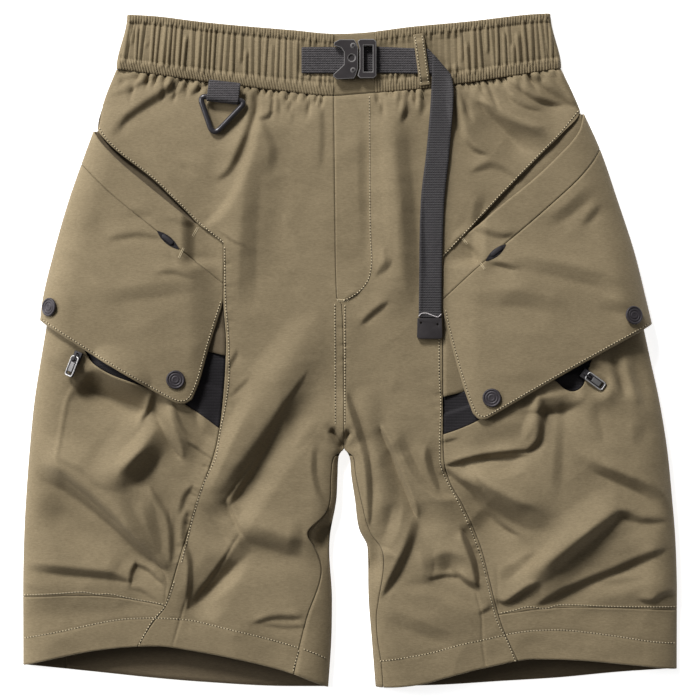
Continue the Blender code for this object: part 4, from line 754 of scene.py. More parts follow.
frontGrid = slopedGrid(frontSlopes)
drawBroad(frontGrid)
for path, width, rise, pointed in frontRidges:
    drawRidge(frontGrid, path, width, rise, pointed)
for crease in hangingCreases:
    drawGathers(frontGrid, *crease)
for path in (((190, 217), (199, 226), (213, 238)), ((474, 222), (463, 234), (450, 248))):
    drawRidge(frontGrid, path, 9, 0.9, 0.3)
for pucker in seamPuckers:
    drawPuckers(frontGrid, *pucker)
frontGrid -= 0.55 * np.abs(softNoise(46, 1.0)) + 0.16 * np.abs(softNoise(22, 1.0))
frontGrid = calmed(frontGrid + 0.6 + softNoise(12, 0.07, 1.6))

flapGrid = slopedGrid(flapSlopes)
flapGrid += 0.3 - 0.4 * np.abs(softNoise(44, 1.0)) + softNoise(12, 0.05, 1.6)
print("folds drawn")


def readGrid(grid, x, y):
    a = np.clip(x / square + 350, 0, sheetSize - 1.001)
    b = np.clip(349.5 - y / square, 0, sheetSize - 1.001)
    i, j = b.astype(int), a.astype(int)
    u, v = b - i, a - j
    upper = (1 - v) * grid[i, j] + v * grid[i, j + 1]
    lower = (1 - v) * grid[i + 1, j] + v * grid[i + 1, j + 1]
    return (1 - u) * upper + u * lower


def frontHeight(half, x, y):
    x, y = np.asarray(x, float), np.asarray(y, float)
    puff = cloth["puff"] * eased(half.sign * (x - half.seamX(y)) / cloth["puffReach"])
    puff = puff * eased((100 - y) / 60) * eased((y + 215) / 30)
    rise = topZ(y) + puff + readGrid(frontGrid, x, y) - foldZ(y)
    share = rounded(half.sideGap(x, y) / cloth["sideRound"])
    height = foldZ(y) + rise * share * rounded(half.innerGap(x, y) / cloth["innerRound"])
    height = height - 1.3 * eased(1 - (waistY(x) - y) / 4)
    return np.maximum(height, np.minimum(foldZ(y), 2.4))


def backHeight(half, x, y):
    low, high = half.saddleSpan
    beside = eased((y - low + 26) / 18) * eased((high + 22 - y) / 14)
    gap = half.sideGap(x, y)
    flat = 0.6 + cloth["underRaise"] * beside * eased(1.5 - gap / cloth["raiseReach"])
    depth = np.maximum(foldZ(y) - flat, 0)
    side = rounded(gap / cloth["underRound"]) * rounded(half.innerGap(x, y) / cloth["underRound"])
    return flat + depth * (1 - side)


def saddleHeight(half, x, y):
    x, y = np.asarray(x, float), np.asarray(y, float)
    sewn = half.sign * (x - half.seamX(y))
    lift = cloth["saddleLift"] * eased(sewn / cloth["saddleReach"])
    lowered = eased((y - 64) / 10) * eased((34 - sewn) / 12)
    lift = 0.2 + lift * (1 - 0.9 * lowered) - 1.5 * lowered
    puff = cloth["puff"] * eased(sewn / cloth["puffReach"]) * eased((100 - y) / 60)
    broad = readGrid(broadGrid, x, y)
    rise = topZ(y) + puff + broad + lift + readGrid(flapGrid, x, y) - foldZ(y)
    gap = half.sign * (half.saddleX(y) - x)
    return foldZ(y) + rise * rounded(gap / cloth["sideRound"])


broadGrid = drawingGrid()
drawBroad(broadGrid)


def objectFrom(name, points, faces, finish, inside=None, insideFaces=None):
    mesh = bpy.data.meshes.new(name)
    mesh.from_pydata((np.asarray(points) * mm).tolist(), [], faces)
    mesh.materials.append(finish)
    # a second finish on the marked faces, such as the darker canvas copy that paints shade on inner
    # faces
    if inside:
        mesh.materials.append(inside)
        mesh.polygons.foreach_set("material_index", insideFaces.astype(np.int32))
    mesh.shade_smooth()
    mesh.update()
    return placed(name, mesh)


def shell(name, points, thickness, finish, present=None, firstUp=True, bulge=0.35):
    # a closed thin wall round a grid of points; present marks the cells that are cloth
    rows, columns = points.shape[:2]
    ids = np.arange(rows * columns).reshape(rows, columns)
    cells = np.stack([ids[:-1, :-1], ids[1:, :-1], ids[1:, 1:], ids[:-1, 1:]], -1)
    if present is None:
        present = np.ones((rows - 1, columns - 1), bool)
    cells = cells[present]
    flat = points.reshape(-1, 3)
    area = np.cross(flat[cells[:, 2]] - flat[cells[:, 0]],
                    flat[cells[:, 3]] - flat[cells[:, 1]]) / 2
    if (area[0, 2] > 0) != firstUp:
        cells, area = cells[:, ::-1], -area
    print(f"{name}: {np.linalg.norm(area, axis=1).sum() / 1e6:.4f} m2")
    normal = np.zeros_like(flat)
    for k in range(4):
        np.add.at(normal, cells[:, k], area)
    normal = unit(normal)
    size = len(flat)
    starts, ends = cells.reshape(-1), np.roll(cells, -1, axis=1).reshape(-1)
    onRim = ~np.isin(starts * size + ends, ends * size + starts)
    starts, ends = starts[onRim], ends[onRim]
    outward = np.zeros_like(flat)
    step = np.cross(flat[ends] - flat[starts], normal[starts] + normal[ends])
    np.add.at(outward, starts, step)
    np.add.at(outward, ends, step)
    used = np.unique(cells)
    place = np.full(size, -1)
    place[used] = np.arange(len(used))
    rim = np.unique(np.concatenate([starts, ends]))
    rimPlace = np.full(size, -1)
    rimPlace[rim] = np.arange(len(rim)) + 2 * len(used)
    half = thickness / 2
    corners = np.concatenate([flat[used] + half * normal[used], flat[used] - half * normal[used],
                              flat[rim] + bulge * thickness * unit(outward[rim])])
    corners[:, 2] = np.maximum(corners[:, 2], 0.0)
    top = place[cells]
    under = top[:, ::-1] + len(used)
    a, b = starts, ends
    upper = np.stack([place[b], place[a], rimPlace[a], rimPlace[b]], 1)
    lower = np.stack([rimPlace[b], rimPlace[a], place[a] + len(used), place[b] + len(used)], 1)
    faces = np.concatenate([top, under, upper, lower])
    inner = np.zeros(len(faces), bool)
    inner[len(top):2 * len(top)] = True
    # the under faces of khaki pieces take the darker canvas copy: painted shade
    inside = khakiPaintedShade if finish == khaki else None
    return objectFrom(name, corners, faces.tolist(), finish, inside, inner)


def crossing(edgeX, share, hemY, start):
    x = float(start)
    for _ in range(40):
        y = float((1 - share) * waistY(x) + share * hemY(x))
        x = 0.5 * x + 0.5 * float(edgeX(y))
    return x, y


def shareAt(edgeX, y, hemY):
    x = edgeX(y)
    return float((waistY(x) - y) / (waistY(x) - hemY(x)))


foldSteps = np.array([0, 0.12, 0.35, 0.75, 1.3, 2.1, 3.2, 4.6, 6.4, 8.6, 11.2, 14.2, 17.6])
underSteps = np.array([0.12, 0.35, 0.75, 1.3, 2.1, 3.2, 4.6, 6.4, 9.0, 13.0, 18.0, 24.0, 29.0,
                       34.0])


def underRow(half, foldX, foldY):
    share = (waistY(foldX) - foldY) / (waistY(foldX) - backHemY(foldX))
    x = foldX - half.sign * underSteps
    y = (1 - share) * waistY(x) + share * backHemY(x)
    return np.stack([x, y, backHeight(half, x, y)], 1)


def overX(half, innerX, foldX, columns):
    # from the inner end to the side fold, closer together near the fold
    reach = half.sign * (foldX - innerX)
    steps = foldSteps * min(1.0, reach / 40)
    even = np.linspace(reach, steps[-1], columns + 1)[:-1]
    return foldX - half.sign * np.concatenate([even, steps[::-1]])


frontPanel = {"rows": 300, "columns": 106}


def makeFront(half):
    corner = shareAt(half.outerX, half.pocketTop, frontHemY)
    low, high = 0.9 / 460, 1.0
    above = np.linspace(low, corner, int(frontPanel["rows"] * corner) + 1)
    below = np.linspace(corner, high, frontPanel["rows"] - len(above) + 2)[1:]
    shares = np.concatenate([above, below])
    rows = []
    across = None
    for share in shares:
        nearX = crossing(half.nearX, share, frontHemY, 0.0)[0] + half.sign * cloth["seamGap"] / 2
        outerX, outerY = crossing(half.outerX, share, frontHemY, half.sign * 100.0)
        if share <= corner + 1e-9:
            x = overX(half, nearX, outerX, frontPanel["columns"])
            y = (1 - share) * waistY(x) + share * frontHemY(x)
            under = underRow(half, outerX, outerY)
            across = (x - nearX) / (outerX - nearX)
        else:
            ease = eased((share - corner) / 0.25)
            spread = (1 - ease) * across + ease * np.linspace(0, 1, len(across))
            x = nearX + (outerX - half.sign * cloth["seamGap"] / 2 - nearX) * spread
            y = (1 - share) * waistY(x) + share * frontHemY(x)
            under = np.full((len(underSteps), 3), np.nan)
        rows.append(np.concatenate([np.stack([x, y, np.zeros(len(x))], 1), under]))
    points = np.array(rows)
    over = frontPanel["columns"] + len(foldSteps)
    points[:, :over, 2] = frontHeight(half, points[:, :over, 0], points[:, :over, 1])
    present = ~np.isnan(points[1:, 1:, 0]) & ~np.isnan(points[:-1, :-1, 0])
    present &= ~np.isnan(points[1:, :-1, 0]) & ~np.isnan(points[:-1, 1:, 0])
    points = np.nan_to_num(points)
    return shell(f"front_panel_{half.name}", points, cloth["wall"], khaki, present)


backPanel = {"rows": 150, "columns": 60}
# hollows of the back panel beside the inseam: square, square, reach across, reach along, depth
tucks = ((322, 536, 11, 18, 10.0), (376, 563, 8, 17, 7.0))


def tuckedIn(x, y):
    depth = np.zeros(np.shape(x))
    for a, b, across, along, deep in tucks:
        atX, atY = (a - 350) * square, (349.5 - b) * square
        away = ((x - atX) / (across * square)) ** 2 + ((y - atY) / (along * square)) ** 2
        depth = depth + deep * np.exp(-away)
    return depth


def makeBack(half):
    crotchShare = shareAt(half.nearX, crotch[1], frontHemY)
    seamShare = shareAt(half.nearX, half.inseamTop, frontHemY)
    shares = np.sort(np.concatenate([np.linspace(0.9 / 460, 1.0, backPanel["rows"]),
                                     [crotchShare, crotchShare + 0.001, seamShare]]))
    t = np.array([0.004, 0.015, 0.035, 0.07, 0.12, 0.19, 0.28, 0.4, 0.55, 0.7, 0.85, 1.0])
    ends = np.array([5.0, 3.4, 2.2, 1.3, 0.7, 0.3, 0.1, 0.0])
    rows = []
    for share in shares:
        seamX, seamY = crossing(half.nearX, share, frontHemY, 0.0)
        innerX, backShare = crotch[0] + half.sign * 0.3, share
        below = share > crotchShare + 1e-6
        if below:
            innerX, innerY = crossing(half.innerX, share, frontHemY, 0.0)
            backShare = float((waistY(innerX) - innerY) / (waistY(innerX) - backHemY(innerX)))
        outerX = crossing(half.sideX, backShare, backHemY, half.sign * 200.0)[0]
        outerX -= half.sign * (cloth["seamUnder"] + 0.4)
        x = np.concatenate([np.linspace(outerX, innerX + half.sign * 7, backPanel["columns"]),
                            innerX + half.sign * ends])
        y = (1 - backShare) * waistY(x) + backShare * backHemY(x)
        z = backHeight(half, x, y)
        if below:
            z[-1] = foldZ(y[-1])
        over = np.full((len(t), 3), np.nan)
        if share > seamShare - 1e-6:
            reach = seamX - half.sign * cloth["seamGap"] / 2
            ox = innerX + (reach - innerX) * t
            oy = y[-1] + (seamY - y[-1]) * t
            oz = frontHeight(half, ox, oy)
            over = np.stack([ox, oy, np.maximum(oz - tuckedIn(ox, oy), np.minimum(oz, 4.0))], 1)
        rows.append(np.concatenate([np.stack([x, y, z], 1), over]))
    points = np.array(rows)
    gone = np.isnan(points[..., 0])
    present = ~(gone[1:, 1:] | gone[:-1, :-1] | gone[1:, :-1] | gone[:-1, 1:])
    return shell(f"back_panel_{half.name}", np.nan_to_num(points), cloth["wall"], khaki, present,
                 False)


def makeSide(half, name, topY, footY, rows, columns, drop, finish, spare=0.5):
    grid = []
    for share in np.linspace(0, 1, rows + 1):
        def rowY(x, share=share):
            return (1 - share) * topY(x) + share * footY(x)

        foldX, innerX = float(half.sideX(0.0)), float(half.seamX(0.0))
        for _ in range(50):
            foldX = 0.5 * (foldX + float(half.sideX(rowY(foldX))))
            innerX = 0.5 * (innerX + float(half.seamX(rowY(innerX))))
        x = overX(half, innerX + half.sign * spare, foldX, columns)
        y = rowY(x)
        z = frontHeight(half, x, y)
        z -= drop(x, y) * rounded(half.sideGap(x, y) / cloth["sideRound"])
        grid.append(np.concatenate([np.stack([x, y, z], 1), underRow(half, foldX, float(y[-1]))]))
    return shell(name, np.array(grid), cloth["wall"], finish)


def makeFacing(half):
    def topY(x):
        inside = np.maximum(half.sideGap(x, half.pocketY(x)) - 9, 0)
        line = half.pocketY(x) - 1.8 + np.minimum(0.7 * inside, 10)
        return np.minimum(line, half.pocketTop - 1.2)

    def drop(x, y):
        sewn = half.sign * (x - half.seamX(y))
        tucked = 3.4 * np.maximum(eased(sewn / 25), eased((y - 60) / 12))
        hidden = np.maximum(tucked, 2.4 * eased((y - 8) / 12))
        shown = eased((half.pocketY(x) - 11 - y) / 5)
        upper = 4.6 if half.sign < 0 else 2.8
        return upper + (hidden - upper) * np.maximum(shown, eased((40 - sewn) / 12))

    # the left facing, seen in the pocket mouth, takes the darker canvas copy: painted shade in the
    # mouth
    return makeSide(half, f"pocket_side_{half.name}", topY, lambda x: half.zipY(x) + 0.3, 44, 44,
                    drop, khakiPaintedShade if half.sign < 0 else khaki, 0.7)


def makeSaddle(half, name, top, foot, innerEdge, rows, columns, lowest=None):
    upper = evenPoints(top, columns + 1)
    lower = evenPoints(foot, columns + 1)
    inner = evenPoints(innerEdge, rows + 1)
    foldYs = np.linspace(top[0][1], foot[0][1], rows + 1)
    u = np.concatenate([[0, 0.001, 0.003, 0.007, 0.013, 0.021, 0.032, 0.046, 0.064, 0.086],
                        np.linspace(0.11, 1, columns - 9)])
    even = np.linspace(0, 1, columns + 1)
    upper, lower = (np.stack([np.interp(u, even, line[:, k]) for k in (0, 1)], 1)
                    for line in (upper, lower))
    grid = []
    for k, v in enumerate(np.linspace(0, 1, rows + 1)):
        fold = np.array([float(half.saddleX(foldYs[k])), foldYs[k]])
        ends = (1 - v) * (upper[0] + (upper[-1] - upper[0]) * u[:, None])
        ends = ends + v * (lower[0] + (lower[-1] - lower[0]) * u[:, None])
        line = (1 - v) * upper + v * lower + (1 - u)[:, None] * fold + u[:, None] * inner[k] - ends
        z = saddleHeight(half, line[:, 0], line[:, 1])
        if lowest is not None:
            z = np.maximum(z, lowest(line[:, 0], line[:, 1]))
        z[0] = foldZ(fold[1])
        steps = np.array([0.15, 0.5, 1.1, 2.2, 3.8, 6.0, 8.5, 11.0])
        under = np.column_stack([fold[0] - half.sign * steps, np.full(8, fold[1]), np.zeros(8)])
        under[:, 2] = 0.7 + (z[0] - 0.7) * (1 - rounded(steps / cloth["underRound"]))
        grid.append(np.concatenate([np.column_stack([line, z])[::-1], under]))
    return shell(name, np.array(grid), cloth["flapWall"], khaki)


def overCargo(half):
    # the flap stays clear of the pocket that it covers
    def lowest(x, y):
        clear = 1.5 + 0.6 * eased(half.sign * (x - half.seamX(y)) / 30)
        return (frontHeight(half, x, y) + clear) * (y < half.zipY(x) + 3)

    return lowest


def tapeDrop(half):
    # flat beside the seam, with a hollow in its upper half, and low where the flap covers it
    def drop(x, y):
        sewn = half.sign * (x - half.seamX(y))
        upper = eased((y - (half.cargoY(x) + half.zipY(x)) / 2) / 2)
        return 1.0 + 1.6 * upper + 1.6 * eased((sewn - 26) / 10)

    return drop


def noDrop(x, y):
    return 0.0


def makeHalf(half):
    name = half.name
    lines = half.lines
    made = {"front": makeFront(half), "back": makeBack(half), "facing": makeFacing(half)}
    made["tape"] = makeSide(half, f"zip_tape_cloth_{name}", lambda x: half.zipY(x) - 0.3,
                            lambda x: half.cargoY(x) + 0.3, 26, 70, tapeDrop(half), tapeFinish, 0.7)
    made["cargo"] = makeSide(half, f"cargo_pocket_cloth_{name}", lambda x: half.cargoY(x) - 0.3,
                             lambda x: half.cargoFootY(x) + 0.3, 134, 98, noDrop, khaki)
    made["hem"] = makeSide(half, f"side_hem_cloth_{name}", lambda x: half.cargoFootY(x) - 0.3,
                           frontHemY, 34, 90, noDrop, khaki)
    zipUpper = [(x, y + 0.5) for x, y in lines["hiddenZip"]]
    zipLower = [(x, y - 0.5) for x, y in lines["hiddenZip"]]
    made["welt"] = makeSaddle(half, f"saddle_welt_{name}", lines["mouth"], zipUpper,
                              [lines["mouth"][-1], zipUpper[-1]], 18, 96)
    made["flap"] = makeSaddle(half, f"saddle_flap_{name}", zipLower, lines["flapFoot"],
                              [zipLower[-1]] + list(lines["flapSide"][1:]), 70, 96,
                              overCargo(half))
    return made


pieces = {"left": makeHalf(left), "right": makeHalf(right)}
print("panels made")

# The waistband, in mm; its rows and strips are shares of its height
band = {"wall": 1.5, "middle": 4.5, "back": 1.2, "plain": (-13.0, 20.0), "frontColumns": 430,
        "backColumns": 260, "footStrip": 0.2, "topStrip": 0.85, "underBelt": (-44.0, 90.0),
        "beltRows": (0.27, 0.83)}


# Its gathers, and the tighter ruffles along its foot and top; whole is the share that run its
# full height
gather = {"lean": (0.4, 1.3), "stray": (-0.8, 0.8), "whole": 0.85, "from": 0.14, "to": 0.9,
          "startsLate": (0.2, 0.5), "stopsEarly": (0.5, 0.8), "width": (1.3, 2.6),
          "rise": (0.9, 2.2), "pitch": (3.0, 6.2)}
ruffle = {"width": 0.75, "footRise": (0.9, 1.4), "topRise": (0.7, 1.4), "pitch": (2.0, 2.5)}


def addGather(total, x, v, at, lean, wide, rise, low, high):
    off = np.abs(x - (at + lean * (v - 0.5))) / wide
    ends = eased((v - low) / 0.08 + 0.5) * eased((high - v) / 0.08 + 0.5)
    total += rise * np.clip(1 - off, 0, 1) ** 1.3 * ends


def bandGathers(x, v):
    total = np.zeros_like(x)
    low, high = x.min() - 4, x.max() + 4
    at = low
    while at < high:
        lean = -0.03 * at * rng.uniform(*gather["lean"]) + rng.uniform(*gather["stray"])
        start = (gather["from"] if rng.random() < gather["whole"]
                 else rng.uniform(*gather["startsLate"]))
        stop = (gather["to"] if rng.random() < gather["whole"]
                else rng.uniform(*gather["stopsEarly"]))
        wide = rng.uniform(*gather["width"])
        rise = rng.uniform(*gather["rise"])
        addGather(total, x, v, at, lean, wide, rise, start, stop)
        addGather(total, x, v, at + wide + 0.6, lean, 1.1, -0.5 * rise, start, stop)
        at += rng.uniform(*gather["pitch"])
    at = low
    while at < high:
        lean = -12.0 if at < 0 else -1.0
        addGather(total, x, v, at, lean, ruffle["width"], rng.uniform(*ruffle["footRise"]), -1,
                  0.19)
        addGather(total, x, v, at + 0.9, 2.0, ruffle["width"], rng.uniform(*ruffle["topRise"]),
                  0.86, 2)
        at += rng.uniform(*ruffle["pitch"])
    return total


def makeBand():
    gap = cloth["seamGap"]
    front, behind = band["frontColumns"], band["backColumns"]
    v = np.concatenate([np.linspace(0, 0.2, 8), np.linspace(0.23, 0.82, 15),
                        np.linspace(0.85, 1, 8)])
    high, low = band["middle"], band["back"]
    radius = (high - low) / 2
    turn = np.linspace(0, math.pi, 9)[1:-1]
    grid = []
    for share in v:
        bow = 8.5 * eased(share)
        leftX, rightX = -187 + bow, 169 - bow
        frontLeft = np.linspace(band["plain"][0] - gap / 2, leftX + radius, front)
        back = np.linspace(leftX + radius, rightX - radius, behind)
        frontRight = np.linspace(rightX - radius, band["plain"][1] + gap / 2, front)
        x = np.concatenate([frontLeft, leftX + radius - radius * np.sin(turn), back,
                            rightX - radius + radius * np.sin(turn), frontRight])
        z = np.concatenate([np.full(front, high), low + radius + radius * np.cos(turn),
                            np.full(behind, low), low + radius - radius * np.cos(turn),
                            np.full(front, high)])
        y = waistY(x) + share * (waistTopY(x) - waistY(x))
        grid.append(np.stack([x, y, z], 1))
    points = np.array(grid)
    width = points.shape[1]
    rows = np.repeat(v[:, None], width, 1)
    foot, top = band["footStrip"], band["topStrip"]
    crown = 1.2 * np.sin(math.pi * np.clip(rows / foot, 0.12, 1)) ** 0.7
    crown += 1.4 * np.sin(math.pi * np.clip((rows - foot) / (top - foot), 0, 1)) ** 0.5
    crown += 1.1 * np.sin(math.pi * np.clip((rows - top) / (1.03 - top), 0, 1)) ** 0.7
    first, last = slice(0, front), slice(width - front, width)
    for columns, sign in ((first, 1), (last, 1), (slice(front + 7, width - front - 7), -0.25)):
        x, v = points[:, columns, 0], rows[:, columns]
        gathers = bandGathers(x, v)
        if sign > 0:
            inner = band["plain"][0] if x.mean() < 0 else band["plain"][1]
            gathers = gathers * eased(np.abs(x - inner) / 6 + 0.15)
            beltLow, beltHigh = band["underBelt"]
            under = eased((x - beltLow) / 4) * eased((beltHigh - x) / 4)
            rowLow, rowHigh = band["beltRows"]
            under *= eased((v - rowLow) / 0.06) * eased((rowHigh - v) / 0.06)
            calmer = 1 - 0.35 * eased((x.mean() - x) * np.sign(x) / 99 + 0.3)
            raised = crown[:, columns] + gathers * calmer
            points[:, columns, 2] += raised * (1 - under) + under * (0.18 * raised - 0.3)
        else:
            points[:, columns, 2] += sign * (crown[:, columns] + gathers)
    return shell("waistband_elastic", points, band["wall"], khaki)


waistbandCloth = makeBand()


def makePlainTab():
    x = np.linspace(band["plain"][0] + 0.15, band["plain"][1] - 0.15, 40)
    grid = []
    for share in np.linspace(0, 1, 30):
        y = waistY(x) + share * (waistTopY(x) - waistY(x))
        z = np.full(len(x), band["middle"] + 0.4 * np.sin(math.pi * share) ** 0.5)
        grid.append(np.stack([x, y, z], 1))
    return shell("waistband_plain", np.array(grid), band["wall"], khaki)


plainTab = makePlainTab()
print("waistband made")

belt = {"wall": 1.5}
beltSeat = 4.5 + 1.2 + 0.4  # top of the band under the webbing
strapLeft = ((66.6, 236.8), (65.6, 207.6), (61.6, 159.6), (57, 119.6), (55.4, 39.6), (55.2, 26))
strapRight = ((80.6, 220.6), (82.4, 207.6), (79.2, 159.6), (75, 119.6), (73, 60), (72.6, 26))


def flatWebbing(name, leftEdge, rightEdge, finish, columns=60, rows=14):
    # webbing on the band between two upright edges, each given by its foot and top
    grid = []
    for v in np.linspace(0, 1, rows + 1):
        start = np.array(leftEdge[0]) + v * (np.array(leftEdge[1]) - leftEdge[0])
        end = np.array(rightEdge[0]) + v * (np.array(rightEdge[1]) - rightEdge[0])
        line = start + np.linspace(0, 1, columns + 1)[:, None] * (end - start)
        z = np.full(columns + 1, beltSeat + 0.8)
        grid.append(np.column_stack([line, z]))
    return shell(name, np.array(grid), belt["wall"], finish)


beltTab = flatWebbing("belt_tab_webbing", ((-38.4, 222.3), (-38.4, 242.5)),
                      ((-4.5, 222.3), (-4.5, 242.5)), webbing)
beltRun = flatWebbing("belt_run_webbing", ((9.8, 223.0), (9.8, 243.4)),
                      ((80.0, 221.2), (63.0, 241.0)), webbing)


def strapSeat(x, y):
    highest = np.full(np.shape(x), -1e9)
    for along in (-12, -8, -4, 0, 4, 8, 12):
        for aside in (-6, -3, 0, 3, 6):
            under = frontHeight(right, x + aside, y + along) + 0.6
            under = np.where(y + along > waistY(x) - 1, 0, under)
            bandTop = (beltSeat - 0.4) * (y + along > waistY(x) - 2)
            webbingTop = (beltSeat + 1.6) * eased((y + along - 214) / 6)
            webbingTop = webbingTop * (eased((y + along - 200) / 6) > 0.5)
            highest = np.maximum.reduce([highest, under, bandTop, webbingTop])
    return highest + 0.8 + 0.8


def makeStrap():
    leftX, rightX = smoothTable(strapLeft, 1), smoothTable(strapRight, 1)
    grid = []
    for share in np.linspace(0, 1, 110):
        yLeft = strapLeft[0][1] + share * (strapLeft[-1][1] - strapLeft[0][1])
        yRight = strapRight[0][1] + share * (strapRight[-1][1] - strapRight[0][1])
        t = np.linspace(0, 1, 13)
        x = leftX(yLeft) + t * (rightX(yRight) - leftX(yLeft))
        y = yLeft + t * (yRight - yLeft)
        grid.append(np.stack([x, y, np.zeros(13)], 1))
    points = np.array(grid)
    points[..., 2] = strapSeat(points[..., 0], points[..., 1])
    smooth = points[..., 2].copy()
    for _ in range(10):
        smooth[1:-1] = (smooth[:-2] + 2 * smooth[1:-1] + smooth[2:]) / 4
    points[..., 2] = np.maximum(smooth, points[..., 2] - 0.5)
    return shell("belt_strap_webbing", points, belt["wall"], webbingDown)


strapCloth = makeStrap()

loop = {"top": (54.8, 253.0), "foot": (60.2, 212.5), "width": 8.0, "wall": 1.3}


def loopHeight(share):
    ends, over = beltSeat + 1.1, beltSeat + 1.6 + 0.3 + 0.9
    return ends + (over - ends) * eased((share - 0.06) / 0.12) * eased((0.95 - share) / 0.12)


def makeLoop():
    start, end = np.array(loop["top"]), np.array(loop["foot"])
    way = (end - start) / np.linalg.norm(end - start)
    aside = np.array([-way[1], way[0]]) * loop["width"] / 2
    grid = []
    for share in np.linspace(0, 1, 60):
        z = loopHeight(share)
        middle = start + share * (end - start)
        grid.append([(*(middle + s * aside), z + 0.15 * (1 - s * s))
                     for s in np.linspace(1, -1, 11)])
    return shell("belt_loop_cloth", np.array(grid), loop["wall"], khaki)


beltLoop = makeLoop()


def makeRingLoop():
    corners = ((-120.4, 203.2), (-82.8, 198.8))
    axis = unit(np.array(corners[1], float) - corners[0])
    back = np.array([-axis[1], axis[0]])
    wire = nodePoints("ring")
    barMiddle = (np.array(corners[0]) + corners[1]) / 2
    near = np.abs((wire[:, :2] - barMiddle) @ back) < 2.6
    near &= np.abs((wire[:, :2] - barMiddle) @ axis) < 14
    barZ = (wire[near, 2].max() + wire[near, 2].min()) / 2
    around, closed, reach = 3.0, 0.75, 13.5
    path = [(reach, closed), (0.8 * reach, closed + 0.7), (0.55 * reach, 0.8 * around)]
    path += [(around * math.sin(a), around * math.cos(a)) for a in np.linspace(0, -math.pi, 13)]
    path += [(0.55 * reach, -0.8 * around), (0.8 * reach, -closed - 0.7), (reach, -closed)]
    grid = []
    for b, rise in evenPoints(path, 50):
        line = [barMiddle + back * b + axis * t for t in np.linspace(-12.4, 12.4, 30)]
        grid.append([(p[0], p[1], barZ + rise) for p in line])
    return shell("ring_loop_webbing", np.array(grid), 1.1, webbing)


ringLoop = makeRingLoop()
print("belt made")

stitch = {"pitch": 2.4, "length": 1.35, "radius": 0.42}


def stitchRun(path, height, lift, pitch=None, length=None, radius=None, late=0):
    # one small rounded stitch every pitch along a path in mm; late moves them along by half a pitch
    pitch, length = pitch or stitch["pitch"], length or stitch["length"]
    radius = radius or stitch["radius"]
    rough = cutCorners(path)
    total = np.linalg.norm(np.diff(rough, axis=0), axis=1).sum()
    count = max(int(total / pitch), 1)
    fine = evenPoints(path, 4 * count + 1)[late:]
    middle, before, after = fine[2::4], fine[1::4], fine[3::4]
    middle, before = middle[:len(after)], before[:len(after)]

    def lifted(p):
        return np.column_stack([p, height(p[:, 0], p[:, 1]) + lift])

    middle, before, after = lifted(middle), lifted(before), lifted(after)
    ahead = unit(after - before)
    aside = unit(np.cross(ahead, (0, 0, 1.0)))
    up = np.cross(aside, ahead)
    corners, faces = [], []
    for k in range(len(middle)):
        base = len(corners)
        for s, r in ((-0.5, 0.45), (-0.25, 1.0), (0.25, 1.0), (0.5, 0.45)):
            for turn in range(5):
                angle = 2 * math.pi * turn / 5
                out = radius * r * (math.cos(angle) * aside[k] + math.sin(angle) * up[k])
                corners.append(middle[k] + s * length * ahead[k] + out)
        for ring in range(3):
            for turn in range(5):
                n = (turn + 1) % 5
                a, b = base + 5 * ring, base + 5 * ring + 5
                faces.append((a + turn, a + n, b + n, b + turn))
        faces.append(tuple(base + t for t in range(4, -1, -1)))
        faces.append(tuple(base + 15 + t for t in range(5)))
    return corners, faces


def stitchObject(name, runs, finish):
    corners, faces = [], []
    for run in runs:
        made, loops = stitchRun(*run)
        faces += [tuple(corner + len(corners) for corner in face) for face in loops]
        corners += made
    return objectFrom(name, np.array(corners), faces, finish)


def needleHoles(name, runs):
    # dark capsules sunk between two stitches: painted shade of the needle holes where the thread
    # goes down
    sunk = [(run[0], run[1], run[2] - 0.02, None, 1.15, 0.5, 2) for run in runs]
    return stitchObject(name, sunk, needleHoleShade)


def squares(*places):
    return [spot(a, b) for a, b in places]


def onFront(half):
    return lambda x, y: frontHeight(half, x, y)


def shifted(path, distance):
    # the same line moved sideways, to the left of its direction
    line = evenPoints(path, 40)
    ahead = np.gradient(line, axis=0)
    ahead /= np.linalg.norm(ahead, axis=1)[:, None]
    return line + distance * np.stack([-ahead[:, 1], ahead[:, 0]], 1)


def onSaddle(half):
    lowest = overCargo(half)
    return lambda x, y: np.maximum(saddleHeight(half, x, y), lowest(x, y))


wallTop = cloth["wall"] / 2 + 0.08
flapTop = cloth["flapWall"] / 2 + 0.08


leftRuns = [
    (shifted(outline["left"]["pocket"], 1.2), onFront(left), wallTop),
    (squares((225, 246), (225.5, 300), (228.5, 330), (229.5, 357), (229.5, 380), (225, 410),
             (221, 427), (218, 450), (216, 459), (205, 480), (198, 500), (192, 520), (186, 545),
             (182, 562)), onFront(left), wallTop),
    (squares((175, 580), (166, 606), (152, 620), (139, 644)), onFront(left), wallTop),
    (squares((23, 638), (60, 631), (100, 622), (125, 618), (155, 617), (190, 619), (230, 629),
             (260, 636), (299, 647)), onFront(left), wallTop),
    (squares((303, 648), (316, 653), (326, 658)), onFront(left), wallTop),
    (squares((23, 594.5), (60, 592.5), (85, 590.5), (97, 593.5), (110, 592.5), (130, 597.5),
             (164, 603.5)), onFront(left), wallTop),
    (squares((299, 649), (293, 671)), onFront(left), wallTop),
    (squares((335, 303), (335.5, 424)), onFront(left), wallTop),
]
